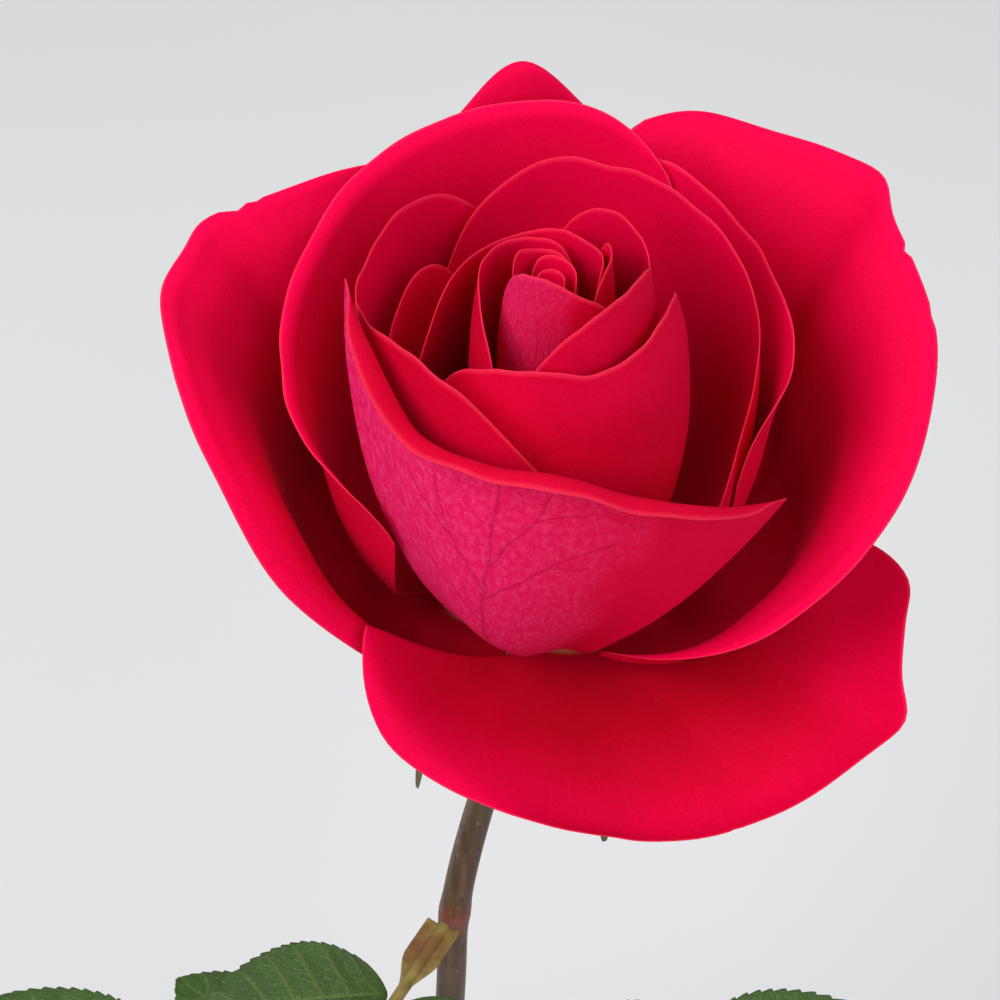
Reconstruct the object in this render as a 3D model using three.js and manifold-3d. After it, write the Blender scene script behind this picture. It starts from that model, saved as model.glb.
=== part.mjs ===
// A cut rose standing in a narrow-necked bud vase. Millimetres, +Z up, the origin at the centre
// of the vase's foot. The bloom faces -Y.
import * as THREE from 'three';
import { mergeVertices } from 'three/addons/utils/BufferGeometryUtils.js';
import Module from 'manifold-3d';

// ---------- Driving dimensions ----------
const GAP = 0.3; // left between pieces that touch

const VASE_HEIGHT = 150;
const VASE_FOOT_RADIUS = 29;
const VASE_BELLY_RADIUS = 37;
const VASE_BELLY_HEIGHT = 46;
const VASE_NECK_LENGTH = 40;
const VASE_BORE = 18; // inner diameter of the neck
const VASE_FLARE = 4.5; // how far the lip spreads beyond the neck
const VASE_WALL = 3;
const VASE_FLOOR = 5;
const VASE_FOOT_BEVEL = 1.2;

const BLOOM_RISE = 155; // from the vase's lip up to the base of the petals
const BLOOM_LEAN = 18.3; // sideways, from where the stem leans in the neck to the bloom's axis
const HIP_RADIUS = 7.6;
const HIP_LENGTH = 24;
const CONE_HEIGHT = 5.8; // the cone inside the bloom that the petals grow from
const STEM_NECK_RADIUS = 2.1; // just under the hip
const STEM_RADIUS = 2.6; // lower down

const PETAL_THICKNESS = HIP_RADIUS / 19; // thinner on a smaller hip, where petals grow closer
const OUTERMOST_LAYER = 12;
const INNER_SEAT_RADIUS = 0.9; // where the innermost petal grows
const CLAW_SHARE = 0.22; // width of a petal's claw as a share of its rim's span
const LIP_SHARE = 0.14; // share of a petal's length taken by its rolled lip
const CORNER_ROUNDING = 0.3;

const SEPAL_HALF_WIDTH = (HIP_RADIUS * 17) / 38;
const SEPAL_THICKNESS = 0.6;
const LEAF_THICKNESS = 0.5;
const STALK_RADIUS = 1.1;
const STIPULE_LENGTH = 16;
const STIPULE_HALF_WIDTH = 3;

// ---------- Places worked out from them ----------
const boreRadius = VASE_BORE / 2;
const neckRadius = boreRadius + VASE_WALL;
const neckBase = VASE_HEIGHT - VASE_NECK_LENGTH;
const leanHeight = neckBase + 0.65 * VASE_NECK_LENGTH; // where the stem leans on the neck
const leanX = boreRadius - STEM_RADIUS - GAP;
const bloomX = leanX + BLOOM_LEAN;
const bloomZ = VASE_HEIGHT + BLOOM_RISE;

// The stem's bends, as [height above or below the bloom's base, sideways from its axis]
const STEM_BENDS = [[-106, -15.5], [-80.5, -14.4], [-54, -10.6], [-25, -4.6], [-10, -1.5], [0, 0]];
const STEM_FOOT_X = -3;

// Lines from a petal's base to its rim: shares of the rim's distance out and of its height
const BUD = { out: [0, 0.5, 0.98, 1.22, 1.17, 1], up: [0, 0.1, 0.3, 0.58, 0.84, 1] };
const CUP = { out: [0, 0.38, 0.76, 0.97, 1.03, 1], up: [0, 0.07, 0.28, 0.54, 0.8, 1] };
const FULL = { out: [0, 0.5, 1.03, 1.29, 1.22, 1], up: [0, 0.1, 0.3, 0.58, 0.84, 1] };
const RING = { out: [0, 0.42, 0.75, 0.87, 0.93, 1], up: [0, 0.05, 0.24, 0.52, 0.82, 1] };
const FLARED = { out: [0, 0.42, 0.64, 0.73, 0.8, 0.9, 1], up: [0, 0.03, 0.16, 0.42, 0.7, 0.9, 1] };
const OPEN = { out: [0, 0.45, 0.7, 0.8, 0.88, 0.95, 1], up: [0, 0.03, 0.18, 0.48, 0.8, 0.98, 1] };
const SPOUT = { out: [0, 0.3, 0.5, 0.68, 0.85, 1], up: [0, 0.12, 0.32, 0.54, 0.78, 1] };
const HANGING = { out: [0, 0.3, 0.55, 0.76, 0.9, 1], up: [0, 0.08, 0.28, 0.6, 0.86, 1] };

// Petals from the heart outwards. span: the degrees around the bloom that the rim covers, 0 at
// the front and 90 at +X. out and up: the rim's distance from the axis and its height, evenly
// spaced along the span. layer: how far out on the cone the petal grows. lip: the width of the
// rolled-back lip and the degrees that it turns through. endLine: the line that takes over towards
// the span's end. spread: how quickly the claw widens. sag: how far its middle hangs down.
// layer, spread and sag are given from the span's start to its end.
const PETALS = [
  { name: 'heart_petal_1', span: [20, 345], line: BUD, layer: [0, 0],
    out: [1.3, 1.5, 1.7, 2, 2.3], up: [61, 62.5, 63, 63, 62] },
  { name: 'heart_petal_2', span: [50, 250], line: BUD, layer: [1.6, 1.6],
    out: [2.7, 3, 3.2, 3.4, 3.4], up: [61.5, 63, 63.7, 64, 63.5] },
  { name: 'heart_petal_3', span: [-75, 40], line: BUD, layer: [2.2, 2.2],
    out: [3.9, 4.2, 4.3, 4.2, 3.9], up: [62, 63.6, 64.4, 64.4, 63] },
  { name: 'heart_petal_4', span: [125, 285], line: BUD, layer: [3, 3],
    out: [4.2, 4.7, 5, 5.2, 4.8], up: [60.5, 63, 64, 64.9, 62] },
  { name: 'heart_petal_pink', span: [-95, 72], line: BUD, layer: [3.6, 3.6],
    out: [6.4, 6.1, 5.8, 5.8, 6.1, 7.2, 9, 10.6], up: [60, 64.5, 67.2, 68, 67.6, 66, 64, 60] },
  { name: 'bud_petal_1', span: [35, 150], line: BUD, layer: [4.2, 4.2],
    out: [6.2, 6.9, 7.3, 8, 9.4], up: [61, 66.4, 66.6, 65.4, 60] },
  { name: 'bud_petal_2', span: [142, 340], line: BUD, layer: [4.2, 4.2],
    out: [6.2, 7.3, 8.4, 9.1, 9.3, 9.6, 11.2, 13.2], up: [62, 63, 63, 63.5, 63.6, 63, 61, 56] },
  { name: 'bud_petal_3', span: [55, 294], line: BUD, layer: [5, 5],
    out: [4.8, 5.9, 6.9, 8.2, 9.5, 11.2, 12.8, 14.4, 17.2],
    up: [65.4, 65.3, 64.4, 63.2, 63.1, 61.6, 60.2, 58.6, 54] },
  { name: 'bud_petal_4', span: [-34, 191], line: BUD, layer: [5.7, 5.7],
    out: [14.4, 13.2, 12.4, 12.2, 12.2, 12.1, 12.3, 12.2, 11.7, 11],
    up: [54, 62, 66, 68.3, 68.7, 65, 65.6, 66.4, 65, 62] },
  { name: 'bud_petal_5', span: [-74, 112], line: FULL, layer: [7.4, 7.4],
    out: [16.2, 16.2, 16.1, 15.7, 15.5, 15.5, 15.3, 15.2, 15.4],
    up: [48, 57.5, 61, 61.8, 60.5, 61.7, 63.4, 62.4, 58] },
  { name: 'bud_petal_6', span: [212, 270], line: CUP, layer: [7, 7],
    out: [19.8, 20.8, 21.4, 21.6], up: [48, 54, 52, 47] },
  { name: 'cup_petal_back', span: [60, 232], line: CUP, layer: [7.8, 7.8],
    out: [23.5, 26.4, 27.6, 25.6, 25, 25, 24, 21.5], up: [36, 46.5, 55, 61, 62.4, 62, 55, 44] },
  { name: 'cup_petal_left', span: [184, 376], line: CUP, layer: [8.6, 8.6],
    out: [28, 26.6, 25.4, 25, 24.7, 23.2, 22.4, 22, 21],
    up: [50, 58.5, 61.2, 60.2, 62, 64, 62, 54, 43] },
  { name: 'cup_petal_front', span: [-80, 62], line: CUP, endLine: SPOUT, layer: [10.2, 10.2],
    lip: [7, 110], spread: [1.5, 1.1], corner: 0.12,
    out: [26.3, 25.6, 26, 26.5, 27, 28.2, 30.5, 34.3],
    up: [67, 61, 54.5, 53.6, 53.6, 49.5, 44.5, 39.5] },
  { name: 'ring_petal_right', span: [68, 178], line: RING, layer: [9.8, 9.8],
    out: [28.5, 31.8, 33.5, 36.5, 41, 44], up: [50, 49, 50, 50.8, 52.2, 48] },
  { name: 'ring_petal_left', span: [146, 308], line: RING, layer: [10.6, 10.6], lip: [3.5, 60],
    out: [37.5, 42, 43.5, 42, 38.3, 34.5, 31.3, 27], up: [48, 54.6, 53.4, 49.6, 44.2, 41, 38.5, 36] },
  { name: 'guard_petal_right', span: [30, 172], line: FLARED, layer: [11, 11], lip: [3, 50],
    spread: [5, 2.2],
    out: [17, 30.5, 38.5, 45.6, 51.2, 52.6, 57.2, 55.2, 51], up: [6, 14.5, 22, 29, 40.5, 47.5, 48, 48, 46] },
  { name: 'guard_petal_left', span: [203, 332], line: FLARED, layer: [11.4, 11.6, 12], lip: [3, 50],
    spread: [2.2, 5],
    out: [51, 50.2, 52, 52.8, 47.6, 43.5, 37.6, 24, 15], up: [46, 46, 46, 46, 45, 40, 24, 4.5, 0.3] },
  { name: 'guard_petal_back', span: [142, 226], line: OPEN, layer: [11.8, 11.8],
    out: [57, 56, 53.5, 52, 53, 54, 54], up: [30, 40, 46, 58.3, 46, 39, 30] },
  { name: 'guard_petal_front', span: [-52, 106], line: HANGING, layer: [11, 11.8, 12, 12],
    spread: [6, 4], sag: [-8.5, 0, 3.8, 5, 4],
    out: [36.5, 38.5, 37, 37.8, 40.6, 44, 48.2, 53.5, 51.7, 50.6, 45],
    up: [12.5, 5.5, 1, -1, -2.3, -3, -1.2, 5.3, 8, 11, 11] },
];

// Sepals hang under the bloom: the degrees around it, and the droop of each as [out, up] points
const SEPALS = [
  { azimuth: 262, droop: [[0, 0], [5, -1.5], [9, -8], [10.5, -19], [10, -31]] },
  { azimuth: 300, droop: [[0, 0], [5, -1.5], [10, -7], [12.5, -17], [14, -28]] },
  { azimuth: 20, droop: [[0, 0], [6, -1.5], [12, -6], [16, -14], [17, -24]] },
  { azimuth: 92, droop: [[0, 0], [6, -1], [12, -4], [18, -10], [21, -19]] },
  { azimuth: 165, droop: [[0, 0], [6, -1.5], [11, -8], [13, -18], [12, -30]] },
];

// Compound leaves. drop: how far under the bloom's base the stalk leaves the stem. azimuth: its
// direction. rise: the stalk's line as [out, up]. pairs: where each pair of leaflets grows, as
// shares of the stalk. length and width: the terminal leaflet's, with the side ones smaller.
const LEAVES = [
  { name: 'upper', drop: 80.5, azimuth: 334, pairs: [0.2, 0.56], length: 50, width: 33,
    rise: [[0, 0], [12, 2], [36, 5], [62, 3], [84, -4]] },
  { name: 'middle', drop: Math.min(123, BLOOM_RISE - 32), azimuth: 288, pairs: [0.3, 0.65],
    length: 48, width: 32, rise: [[0, 0], [12, 1], [36, 0], [58, -4], [78, -11]] },
  { name: 'lower', drop: Math.min(134, BLOOM_RISE - 21), azimuth: 50, pairs: [0.32, 0.66],
    length: 50, width: 33, rise: [[0, 0], [12, 13], [36, 37], [58, 48.5], [76, 50]] },
];
const SIDE_LEAFLET_SCALE = [0.64, 0.86]; // lower pair, upper pair
const SIDE_LEAFLET_TURN = 58;
const LEAFLET_DROOP = 0.16; // of its length, at the tip
const LEAFLET_FOLD = 0.22; // rise of the blade's halves over their half width

// Prickles on the stem: [height below the bloom's base, azimuth]
const PRICKLES = [[97, 190], [113, 175], [129, 200], [146, 300]];
const PRICKLE_LENGTH = 5;

// ---------- Materials ----------
const petalRed = new THREE.MeshStandardMaterial({ color: 0xc8102e, roughness: 0.55, metalness: 0 });
const petalPink = new THREE.MeshStandardMaterial({ color: 0xd8356b, roughness: 0.5, metalness: 0 });
const stemGreen = new THREE.MeshStandardMaterial({ color: 0x6b5a3c, roughness: 0.6, metalness: 0 });
const leafGreen = new THREE.MeshStandardMaterial({ color: 0x3a6b1c, roughness: 0.55, metalness: 0 });
const glaze = new THREE.MeshStandardMaterial({ color: 0xeceae4, roughness: 0.2, metalness: 0 });

// ---------- Geometry helpers ----------
/** Value at t in 0..1 of a smooth curve through evenly spaced values. */
function along(values, t) {
  const last = values.length - 1;
  const x = THREE.MathUtils.clamp(t, 0, 1) * last;
  const i = Math.min(Math.floor(x), last - 1);
  const b = values[i];
  const c = values[i + 1];
  const a = i > 0 ? values[i - 1] : 2 * b - c;
  const d = i + 2 <= last ? values[i + 2] : 2 * c - b;
  const f = x - i;
  return b + 0.5 * f * (c - a + f * (2 * a - 5 * b + 4 * c - d + f * (3 * (b - c) + d - a)));
}

/** The same for a list of [a, b] points. */
function alongPoints(points, t) {
  return [0, 1].map((k) => along(points.map((point) => point[k]), t));
}

/** Point at an azimuth, distance and height: azimuth 0 is -Y and 90 is +X. */
function around(azimuth, distance, height) {
  const angle = THREE.MathUtils.degToRad(azimuth);
  return new THREE.Vector3(distance * Math.sin(angle), -distance * Math.cos(angle), height);
}

/** Indexed geometry with its faces turned outwards. */
function solid(points, triangles) {
  let volume = 0;
  for (const [a, b, c] of triangles) {
    volume += points[a].dot(new THREE.Vector3().crossVectors(points[b], points[c]));
  }
  const outward = volume > 0 ? triangles : triangles.map(([a, b, c]) => [a, c, b]);
  const geometry = new THREE.BufferGeometry().setFromPoints(points);
  geometry.setIndex(outward.flat());
  geometry.computeVertexNormals();
  return geometry;
}

/** Unit normal of a surface at(u, v). */
function normalAt(at, u, v) {
  const step = 1e-3;
  const [u0, u1] = [Math.max(u - step, 0), Math.min(u + step, 1)];
  const [v0, v1] = [Math.max(v - step, 0), Math.min(v + step, 1)];
  const du = at(u1, v).sub(at(u0, v));
  const dv = at(u, v1).sub(at(u, v0));
  return du.cross(dv).normalize();
}

/** Shares from 0 to 1 in even steps. */
function evenly(count) {
  return Array.from({ length: count + 1 }, (_, i) => i / count);
}

/** Thin solid of even thickness around a surface at(u, v), with rows where v is at the stops. */
function sheet(at, columns, stops, thickness) {
  const rows = stops.length - 1;
  const faces = [[], []];
  const points = [];
  for (const side of [0, 1]) {
    for (let i = 0; i <= columns; i += 1) {
      for (let j = 0; j <= rows; j += 1) {
        const [u, v] = [i / columns, stops[j]];
        const shift = (side - 0.5) * thickness;
        faces[side].push(points.length);
        points.push(at(u, v).addScaledVector(normalAt(at, u, v), shift));
      }
    }
  }
  const corner = (side, i, j) => faces[side][i * (rows + 1) + j];
  const triangles = [];
  const quad = (a, b, c, d) => triangles.push([a, b, c], [a, c, d]);
  for (let i = 0; i < columns; i += 1) {
    for (let j = 0; j < rows; j += 1) {
      quad(corner(1, i, j), corner(1, i + 1, j), corner(1, i + 1, j + 1), corner(1, i, j + 1));
      quad(corner(0, i, j), corner(0, i, j + 1), corner(0, i + 1, j + 1), corner(0, i + 1, j));
    }
  }
  for (let i = 0; i < columns; i += 1) {
    quad(corner(0, i, 0), corner(0, i + 1, 0), corner(1, i + 1, 0), corner(1, i, 0));
    quad(corner(1, i, rows), corner(1, i + 1, rows), corner(0, i + 1, rows), corner(0, i, rows));
  }
  for (let j = 0; j < rows; j += 1) {
    quad(corner(1, 0, j), corner(1, 0, j + 1), corner(0, 0, j + 1), corner(0, 0, j));
    quad(corner(0, columns, j), corner(0, columns, j + 1), corner(1, columns, j + 1), corner(1, columns, j));
  }
  return solid(points, triangles);
}

/** Closed body through rings of points, with a point at each end. */
function loft(rings, startTip, endTip) {
  const sides = rings[0].length;
  const points = [...rings.flat(), startTip, endTip];
  const start = points.length - 2;
  const end = points.length - 1;
  const lastRing = (rings.length - 1) * sides;
  const triangles = [];
  for (let i = 0; i < sides; i += 1) {
    const next = (i + 1) % sides;
    triangles.push([start, next, i], [end, lastRing + i, lastRing + next]);
    for (let ring = 0; ring < lastRing; ring += sides) {
      triangles.push([ring + i, ring + next, ring + sides + next]);
      triangles.push([ring + i, ring + sides + next, ring + sides + i]);
    }
  }
  return solid(points, triangles);
}

/** Rod along points, with a half width and half height at each share t of its length. */
function rod(points, steps, sides, halfWidth, halfHeight) {
  const curve = new THREE.CatmullRomCurve3(points);
  const rings = [];
  for (let k = 0; k <= steps; k += 1) {
    const t = k / steps;
    const centre = curve.getPointAt(t);
    const forward = curve.getTangentAt(t);
    const across = new THREE.Vector3(0, 0, 1).cross(forward).normalize();
    const above = forward.clone().cross(across);
    const ring = [];
    for (let i = 0; i < sides; i += 1) {
      const angle = (2 * Math.PI * i) / sides;
      const point = centre.clone().addScaledVector(across, halfWidth(t) * Math.cos(angle));
      ring.push(point.addScaledVector(above, halfHeight(t) * Math.sin(angle)));
    }
    rings.push(ring);
  }
  return loft(rings, curve.getPointAt(0), curve.getPointAt(1));
}

const wasm = await Module();
wasm.setup();

/** Solids joined into one. */
function join(geometries) {
  const solids = geometries.map((geometry) => {
    const bare = new THREE.BufferGeometry();
    bare.setAttribute('position', geometry.getAttribute('position'));
    bare.setIndex(geometry.getIndex());
    const merged = mergeVertices(bare, 1e-5);
    const vertProperties = new Float32Array(merged.getAttribute('position').array);
    const triVerts = new Uint32Array(merged.getIndex().array);
    return new wasm.Manifold(new wasm.Mesh({ numProp: 3, vertProperties, triVerts }));
  });
  const mesh = solids.reduce((whole, next) => whole.add(next)).getMesh();
  const geometry = new THREE.BufferGeometry();
  geometry.setAttribute('position', new THREE.BufferAttribute(mesh.vertProperties, 3));
  geometry.setIndex(new THREE.BufferAttribute(mesh.triVerts, 1));
  geometry.computeVertexNormals();
  return geometry;
}

function named(name, geometry, material) {
  const mesh = new THREE.Mesh(geometry, material);
  mesh.name = name;
  return mesh;
}

// ---------- Vase ----------
/** Outer radius of the vase at a height. */
function vaseRadius(height) {
  if (height < VASE_BELLY_HEIGHT) {
    const below = 1 - height / VASE_BELLY_HEIGHT;
    return VASE_BELLY_RADIUS + (VASE_FOOT_RADIUS - VASE_BELLY_RADIUS) * below ** 2;
  }
  if (height < neckBase) {
    const t = (height - VASE_BELLY_HEIGHT) / (neckBase - VASE_BELLY_HEIGHT);
    return VASE_BELLY_RADIUS + (neckRadius - VASE_BELLY_RADIUS) * t * t * (3 - 2 * t);
  }
  return neckRadius + VASE_FLARE * ((height - neckBase) / VASE_NECK_LENGTH) ** 4;
}

function vase() {
  const steps = 12;
  const segments = 36;
  const rim = VASE_WALL / 2; // the lip is rounded over its whole thickness
  const top = VASE_HEIGHT - rim;
  const outer = [];
  const inner = [];
  for (let k = 0; k <= steps; k += 1) {
    const outerHeight = VASE_FOOT_BEVEL + ((top - VASE_FOOT_BEVEL) * k) / steps;
    const innerHeight = VASE_FLOOR + ((top - VASE_FLOOR) * k) / steps;
    outer.push(new THREE.Vector2(vaseRadius(outerHeight), outerHeight));
    inner.unshift(new THREE.Vector2(vaseRadius(innerHeight) - VASE_WALL, innerHeight));
  }
  const lip = [0.25, 0.5, 0.75].map((turn) => {
    const angle = Math.PI * turn;
    const middle = vaseRadius(top) - rim;
    return new THREE.Vector2(middle + rim * Math.cos(angle), top + rim * Math.sin(angle));
  });
  const foot = [new THREE.Vector2(0, 0), new THREE.Vector2(VASE_FOOT_RADIUS - VASE_FOOT_BEVEL, 0)];
  const floor = [new THREE.Vector2(0, VASE_FLOOR)];
  const profile = [...foot, ...outer, ...lip, ...inner, ...floor];
  const geometry = new THREE.LatheGeometry(profile, segments).rotateX(Math.PI / 2);
  return named('vase', geometry, glaze);
}

// ---------- Stem ----------
const stemLine = new THREE.CatmullRomCurve3([
  new THREE.Vector3(STEM_FOOT_X, 0, VASE_FLOOR + GAP),
  new THREE.Vector3((STEM_FOOT_X + leanX) / 2, 0, (VASE_FLOOR + leanHeight) / 2),
  new THREE.Vector3(leanX, 0, leanHeight),
  ...STEM_BENDS.map(([up, sideways]) => new THREE.Vector3(bloomX + sideways, 0, bloomZ + up)),
]);

/** Centre of the stem at a height. */
function stemCentre(height) {
  let low = 0;
  let high = 1;
  for (let k = 0; k < 30; k += 1) {
    const middle = (low + high) / 2;
    if (stemLine.getPoint(middle).z < height) low = middle;
    else high = middle;
  }
  return stemLine.getPoint(low).setZ(height);
}

/** Radius of the stem at a distance below the bloom's base. */
function stemRadius(below) {
  if (below >= HIP_LENGTH) {
    const t = Math.min((below - HIP_LENGTH) / 60, 1);
    return STEM_NECK_RADIUS + (STEM_RADIUS - STEM_NECK_RADIUS) * t;
  }
  const hip = along([1, 0.99, 0.86, 0.55, 0.2, 0], below / HIP_LENGTH);
  return STEM_NECK_RADIUS + (HIP_RADIUS - STEM_NECK_RADIUS) * hip;
}

function prickle(below, azimuth) {
  const centre = stemCentre(bloomZ - below);
  const surface = stemRadius(below);
  const rings = [[-0.8, 1.7], [0.35, 1.1], [0.7, 0.55]].map(([share, radius]) => {
    const out = surface + Math.max(share, 0) * PRICKLE_LENGTH + Math.min(share, 0);
    const sag = -PRICKLE_LENGTH * 0.35 * Math.max(share, 0) ** 2;
    const middle = around(azimuth, out, sag);
    return [0, 1, 2, 3, 4, 5].map((i) => {
      const angle = (Math.PI * i) / 3;
      const side = around(azimuth + 90, radius * 0.6 * Math.cos(angle), 0);
      return middle.clone().add(side).setZ(middle.z + radius * 1.5 * Math.sin(angle)).add(centre);
    });
  });
  const root = around(azimuth, surface - 0.9, 0).add(centre);
  const tip = around(azimuth, surface + PRICKLE_LENGTH, -PRICKLE_LENGTH * 0.5).add(centre);
  return loft(rings, root, tip);
}

function stem() {
  const sides = 14;
  const ring = (centre, radius) => Array.from({ length: sides }, (_, i) => {
    return around((360 * i) / sides, radius, 0).add(centre);
  });
  const foot = stemCentre(VASE_FLOOR + GAP);
  const belows = [bloomZ - foot.z];
  for (const share of [0.8, 0.6, 0.5, 0.4, 0.32, 0.24, 0.18, 0.12]) belows.push(share * belows[0]);
  for (const share of [1, 0.8, 0.6, 0.4, 0.2, 0.08]) belows.push(share * HIP_LENGTH);
  const rings = belows.map((below) => ring(stemCentre(bloomZ - below), stemRadius(below)));
  const base = stemCentre(bloomZ);
  rings.push(ring(base.clone().setZ(bloomZ - 0.9), HIP_RADIUS * 0.96));
  rings.push(ring(base.clone().setZ(bloomZ + CONE_HEIGHT * 0.4), HIP_RADIUS * 0.5));
  const body = loft(rings, foot, base.clone().setZ(bloomZ + CONE_HEIGHT - 0.9));
  const prickles = PRICKLES.map(([below, azimuth]) => prickle(below, azimuth));
  return named('stem', join([body, ...prickles]), stemGreen);
}

// ---------- Petals ----------
/** Where a petal of a layer grows on the cone: [distance from the axis, height]. */
function seat(layer) {
  const share = layer / OUTERMOST_LAYER;
  const outermost = HIP_RADIUS * 0.92;
  const distance = INNER_SEAT_RADIUS + (outermost - INNER_SEAT_RADIUS) * share;
  return [distance, CONE_HEIGHT * (1 - share) + GAP];
}

/** Share of the rim's distance or height reached at s, along the petal's line or its end line. */
function lineShare({ line, endLine }, part, s, u) {
  const share = along(line[part], s);
  if (!endLine) return share;
  return share + (along(endLine[part], s) - share) * THREE.MathUtils.smoothstep(u, 0.4, 1);
}

/** The lip's step beyond the body's end, as [out, up]. */
function lipStep(shape, rimOut, rimUp, u, length) {
  const nearRim = 0.999;
  const [lipWidth, lipTurn] = [shape.lip[0], THREE.MathUtils.degToRad(shape.lip[1])];
  const alongOut = rimOut * (1 - lineShare(shape, 'out', nearRim, u));
  const alongUp = rimUp * (1 - lineShare(shape, 'up', nearRim, u));
  const scale = 1 / Math.hypot(alongOut, alongUp);
  const turn = (lipTurn * (length - (1 - LIP_SHARE))) / LIP_SHARE;
  const radius = (lipWidth / lipTurn) * (1 - (2 * u - 1) ** 4);
  const forward = radius * Math.sin(turn) * scale;
  const backward = radius * (1 - Math.cos(turn)) * scale;
  return [forward * alongOut + backward * alongUp, forward * alongUp - backward * alongOut];
}

function petalSurface(shape) {
  const { out, up, layer, spread = [2.2, 2.2], sag = [0, 0], corner = CORNER_ROUNDING } = shape;
  const [start, end] = shape.span;
  const bodyShare = shape.lip ? 1 - LIP_SHARE : 1;
  return (u, v) => {
    const side = 2 * u - 1;
    const [seatRadius, seatHeight] = seat(along(layer, u));
    const length = v * (1 - corner * side ** 8);
    const s = Math.min(length / bodyShare, 1);
    const [rimOut, rimUp] = [along(out, u) - seatRadius, along(up, u) - seatHeight];
    const width = CLAW_SHARE + (1 - CLAW_SHARE) * (1 - (1 - s) ** along(spread, u));
    const azimuth = (start + end) / 2 + ((end - start) / 2) * side * width;
    const hang = along(sag, u) * Math.sin(Math.PI * s ** 2);
    let distance = seatRadius + rimOut * lineShare(shape, 'out', s, u);
    let height = seatHeight + rimUp * lineShare(shape, 'up', s, u) - hang;
    if (length > bodyShare) {
      const [lipOut, lipUp] = lipStep(shape, rimOut, rimUp, u, length);
      distance += lipOut;
      height += lipUp;
    }
    return around(azimuth, distance, height);
  };
}

function petal(shape) {
  const [start, end] = shape.span;
  const columns = 2 * THREE.MathUtils.clamp(Math.round((end - start) / 30), 3, 6);
  const body = evenly(6).map((share) => (shape.lip ? share * (1 - LIP_SHARE) : share));
  const stops = shape.lip ? [...body, 1 - LIP_SHARE / 2, 1] : body;
  const geometry = sheet(petalSurface(shape), columns, stops, PETAL_THICKNESS);
  const pink = shape.name === 'heart_petal_pink' || shape.name === 'cup_petal_front';
  return named(shape.name, geometry, pink ? petalPink : petalRed);
}

// ---------- Sepals ----------
function sepal({ azimuth, droop }, index) {
  const root = HIP_RADIUS + GAP + SEPAL_THICKNESS / 2;
  const at = (u, v) => {
    const [out, up] = alongPoints(droop, v);
    const halfWidth = SEPAL_HALF_WIDTH * (1 - v) ** 0.8 * (0.75 + 0.5 * v) + 0.25;
    const side = (2 * u - 1) * halfWidth;
    const cupped = 0.12 * halfWidth * (2 * u - 1) ** 2;
    return around(azimuth, root + out + cupped, up - 0.08 * HIP_LENGTH).add(around(azimuth + 90, side, 0));
  };
  return named(`sepal_${index + 1}`, sheet(at, 4, evenly(7), SEPAL_THICKNESS), leafGreen);
}

// ---------- Leaves ----------
/** A leaflet's blade, growing from the origin along +X. */
function leaflet(length, width) {
  const at = (u, v) => {
    const outline = Math.sin(Math.PI * v ** 0.82) ** 0.8;
    const halfWidth = Math.max((width / 2) * outline, 0.4);
    const side = (2 * u - 1) * halfWidth;
    const fold = LEAFLET_FOLD * Math.abs(side) * (1 - Math.abs(side) / width);
    return new THREE.Vector3(length * v, side, fold - LEAFLET_DROOP * length * v * v);
  };
  return sheet(at, 4, evenly(7), LEAF_THICKNESS);
}

function stalk(points) {
  const curve = new THREE.CatmullRomCurve3(points);
  const stipule = (t) => THREE.MathUtils.smoothstep(1 - (t * curve.getLength()) / STIPULE_LENGTH, 0, 0.5);
  const halfWidth = (t) => STALK_RADIUS * (1 - 0.35 * t) + (STIPULE_HALF_WIDTH - STALK_RADIUS) * stipule(t);
  return rod(points, 12, 6, halfWidth, (t) => STALK_RADIUS * (1 - 0.35 * t));
}

/** A stalk with its leaflets, growing from the origin along +X. */
function leaf({ name, rise, pairs, length, width }) {
  const group = new THREE.Group();
  const points = rise.map(([out, up]) => new THREE.Vector3(out, 0, up));
  const curve = new THREE.CatmullRomCurve3(points);
  group.add(named(`leaf_${name}_stalk`, stalk(points), stemGreen));
  const place = (mesh, at, turn, pitch) => {
    mesh.position.copy(at);
    mesh.rotation.set(0, pitch, THREE.MathUtils.degToRad(turn), 'ZYX');
    group.add(mesh);
  };
  pairs.forEach((share, k) => {
    const scale = SIDE_LEAFLET_SCALE[k];
    const at = curve.getPointAt(share);
    for (const [sideName, side] of [['left', 1], ['right', -1]]) {
      const blade = leaflet(length * scale, width * scale);
      const mesh = named(`leaf_${name}_leaflet_${k + 1}_${sideName}`, blade, leafGreen);
      const clear = STALK_RADIUS + GAP + 0.5;
      place(mesh, at.clone().add(new THREE.Vector3(0.3, side * clear, 0)), side * SIDE_LEAFLET_TURN, -0.1);
    }
  });
  const tip = curve.getPointAt(1);
  const heading = curve.getTangentAt(1);
  const pitch = -Math.atan2(heading.z, heading.x);
  const terminal = named(`leaf_${name}_leaflet_tip`, leaflet(length, width), leafGreen);
  place(terminal, tip.clone().addScaledVector(heading, GAP + 0.1), 0, pitch);
  return group;
}

function placedLeaf(shape) {
  const group = leaf(shape);
  const clear = stemRadius(shape.drop) + GAP + STALK_RADIUS;
  const centre = stemCentre(bloomZ - shape.drop);
  group.position.copy(around(shape.azimuth, clear, 0).add(centre));
  group.rotation.z = THREE.MathUtils.degToRad(shape.azimuth - 90);
  return group;
}

// ---------- The whole ----------
const bloom = new THREE.Group();
bloom.position.set(bloomX, 0, bloomZ);
bloom.add(...PETALS.map(petal), ...SEPALS.map(sepal));

const rose = new THREE.Group();
rose.add(vase(), stem(), bloom, ...LEAVES.map(placedLeaf));

export default rose;
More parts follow.
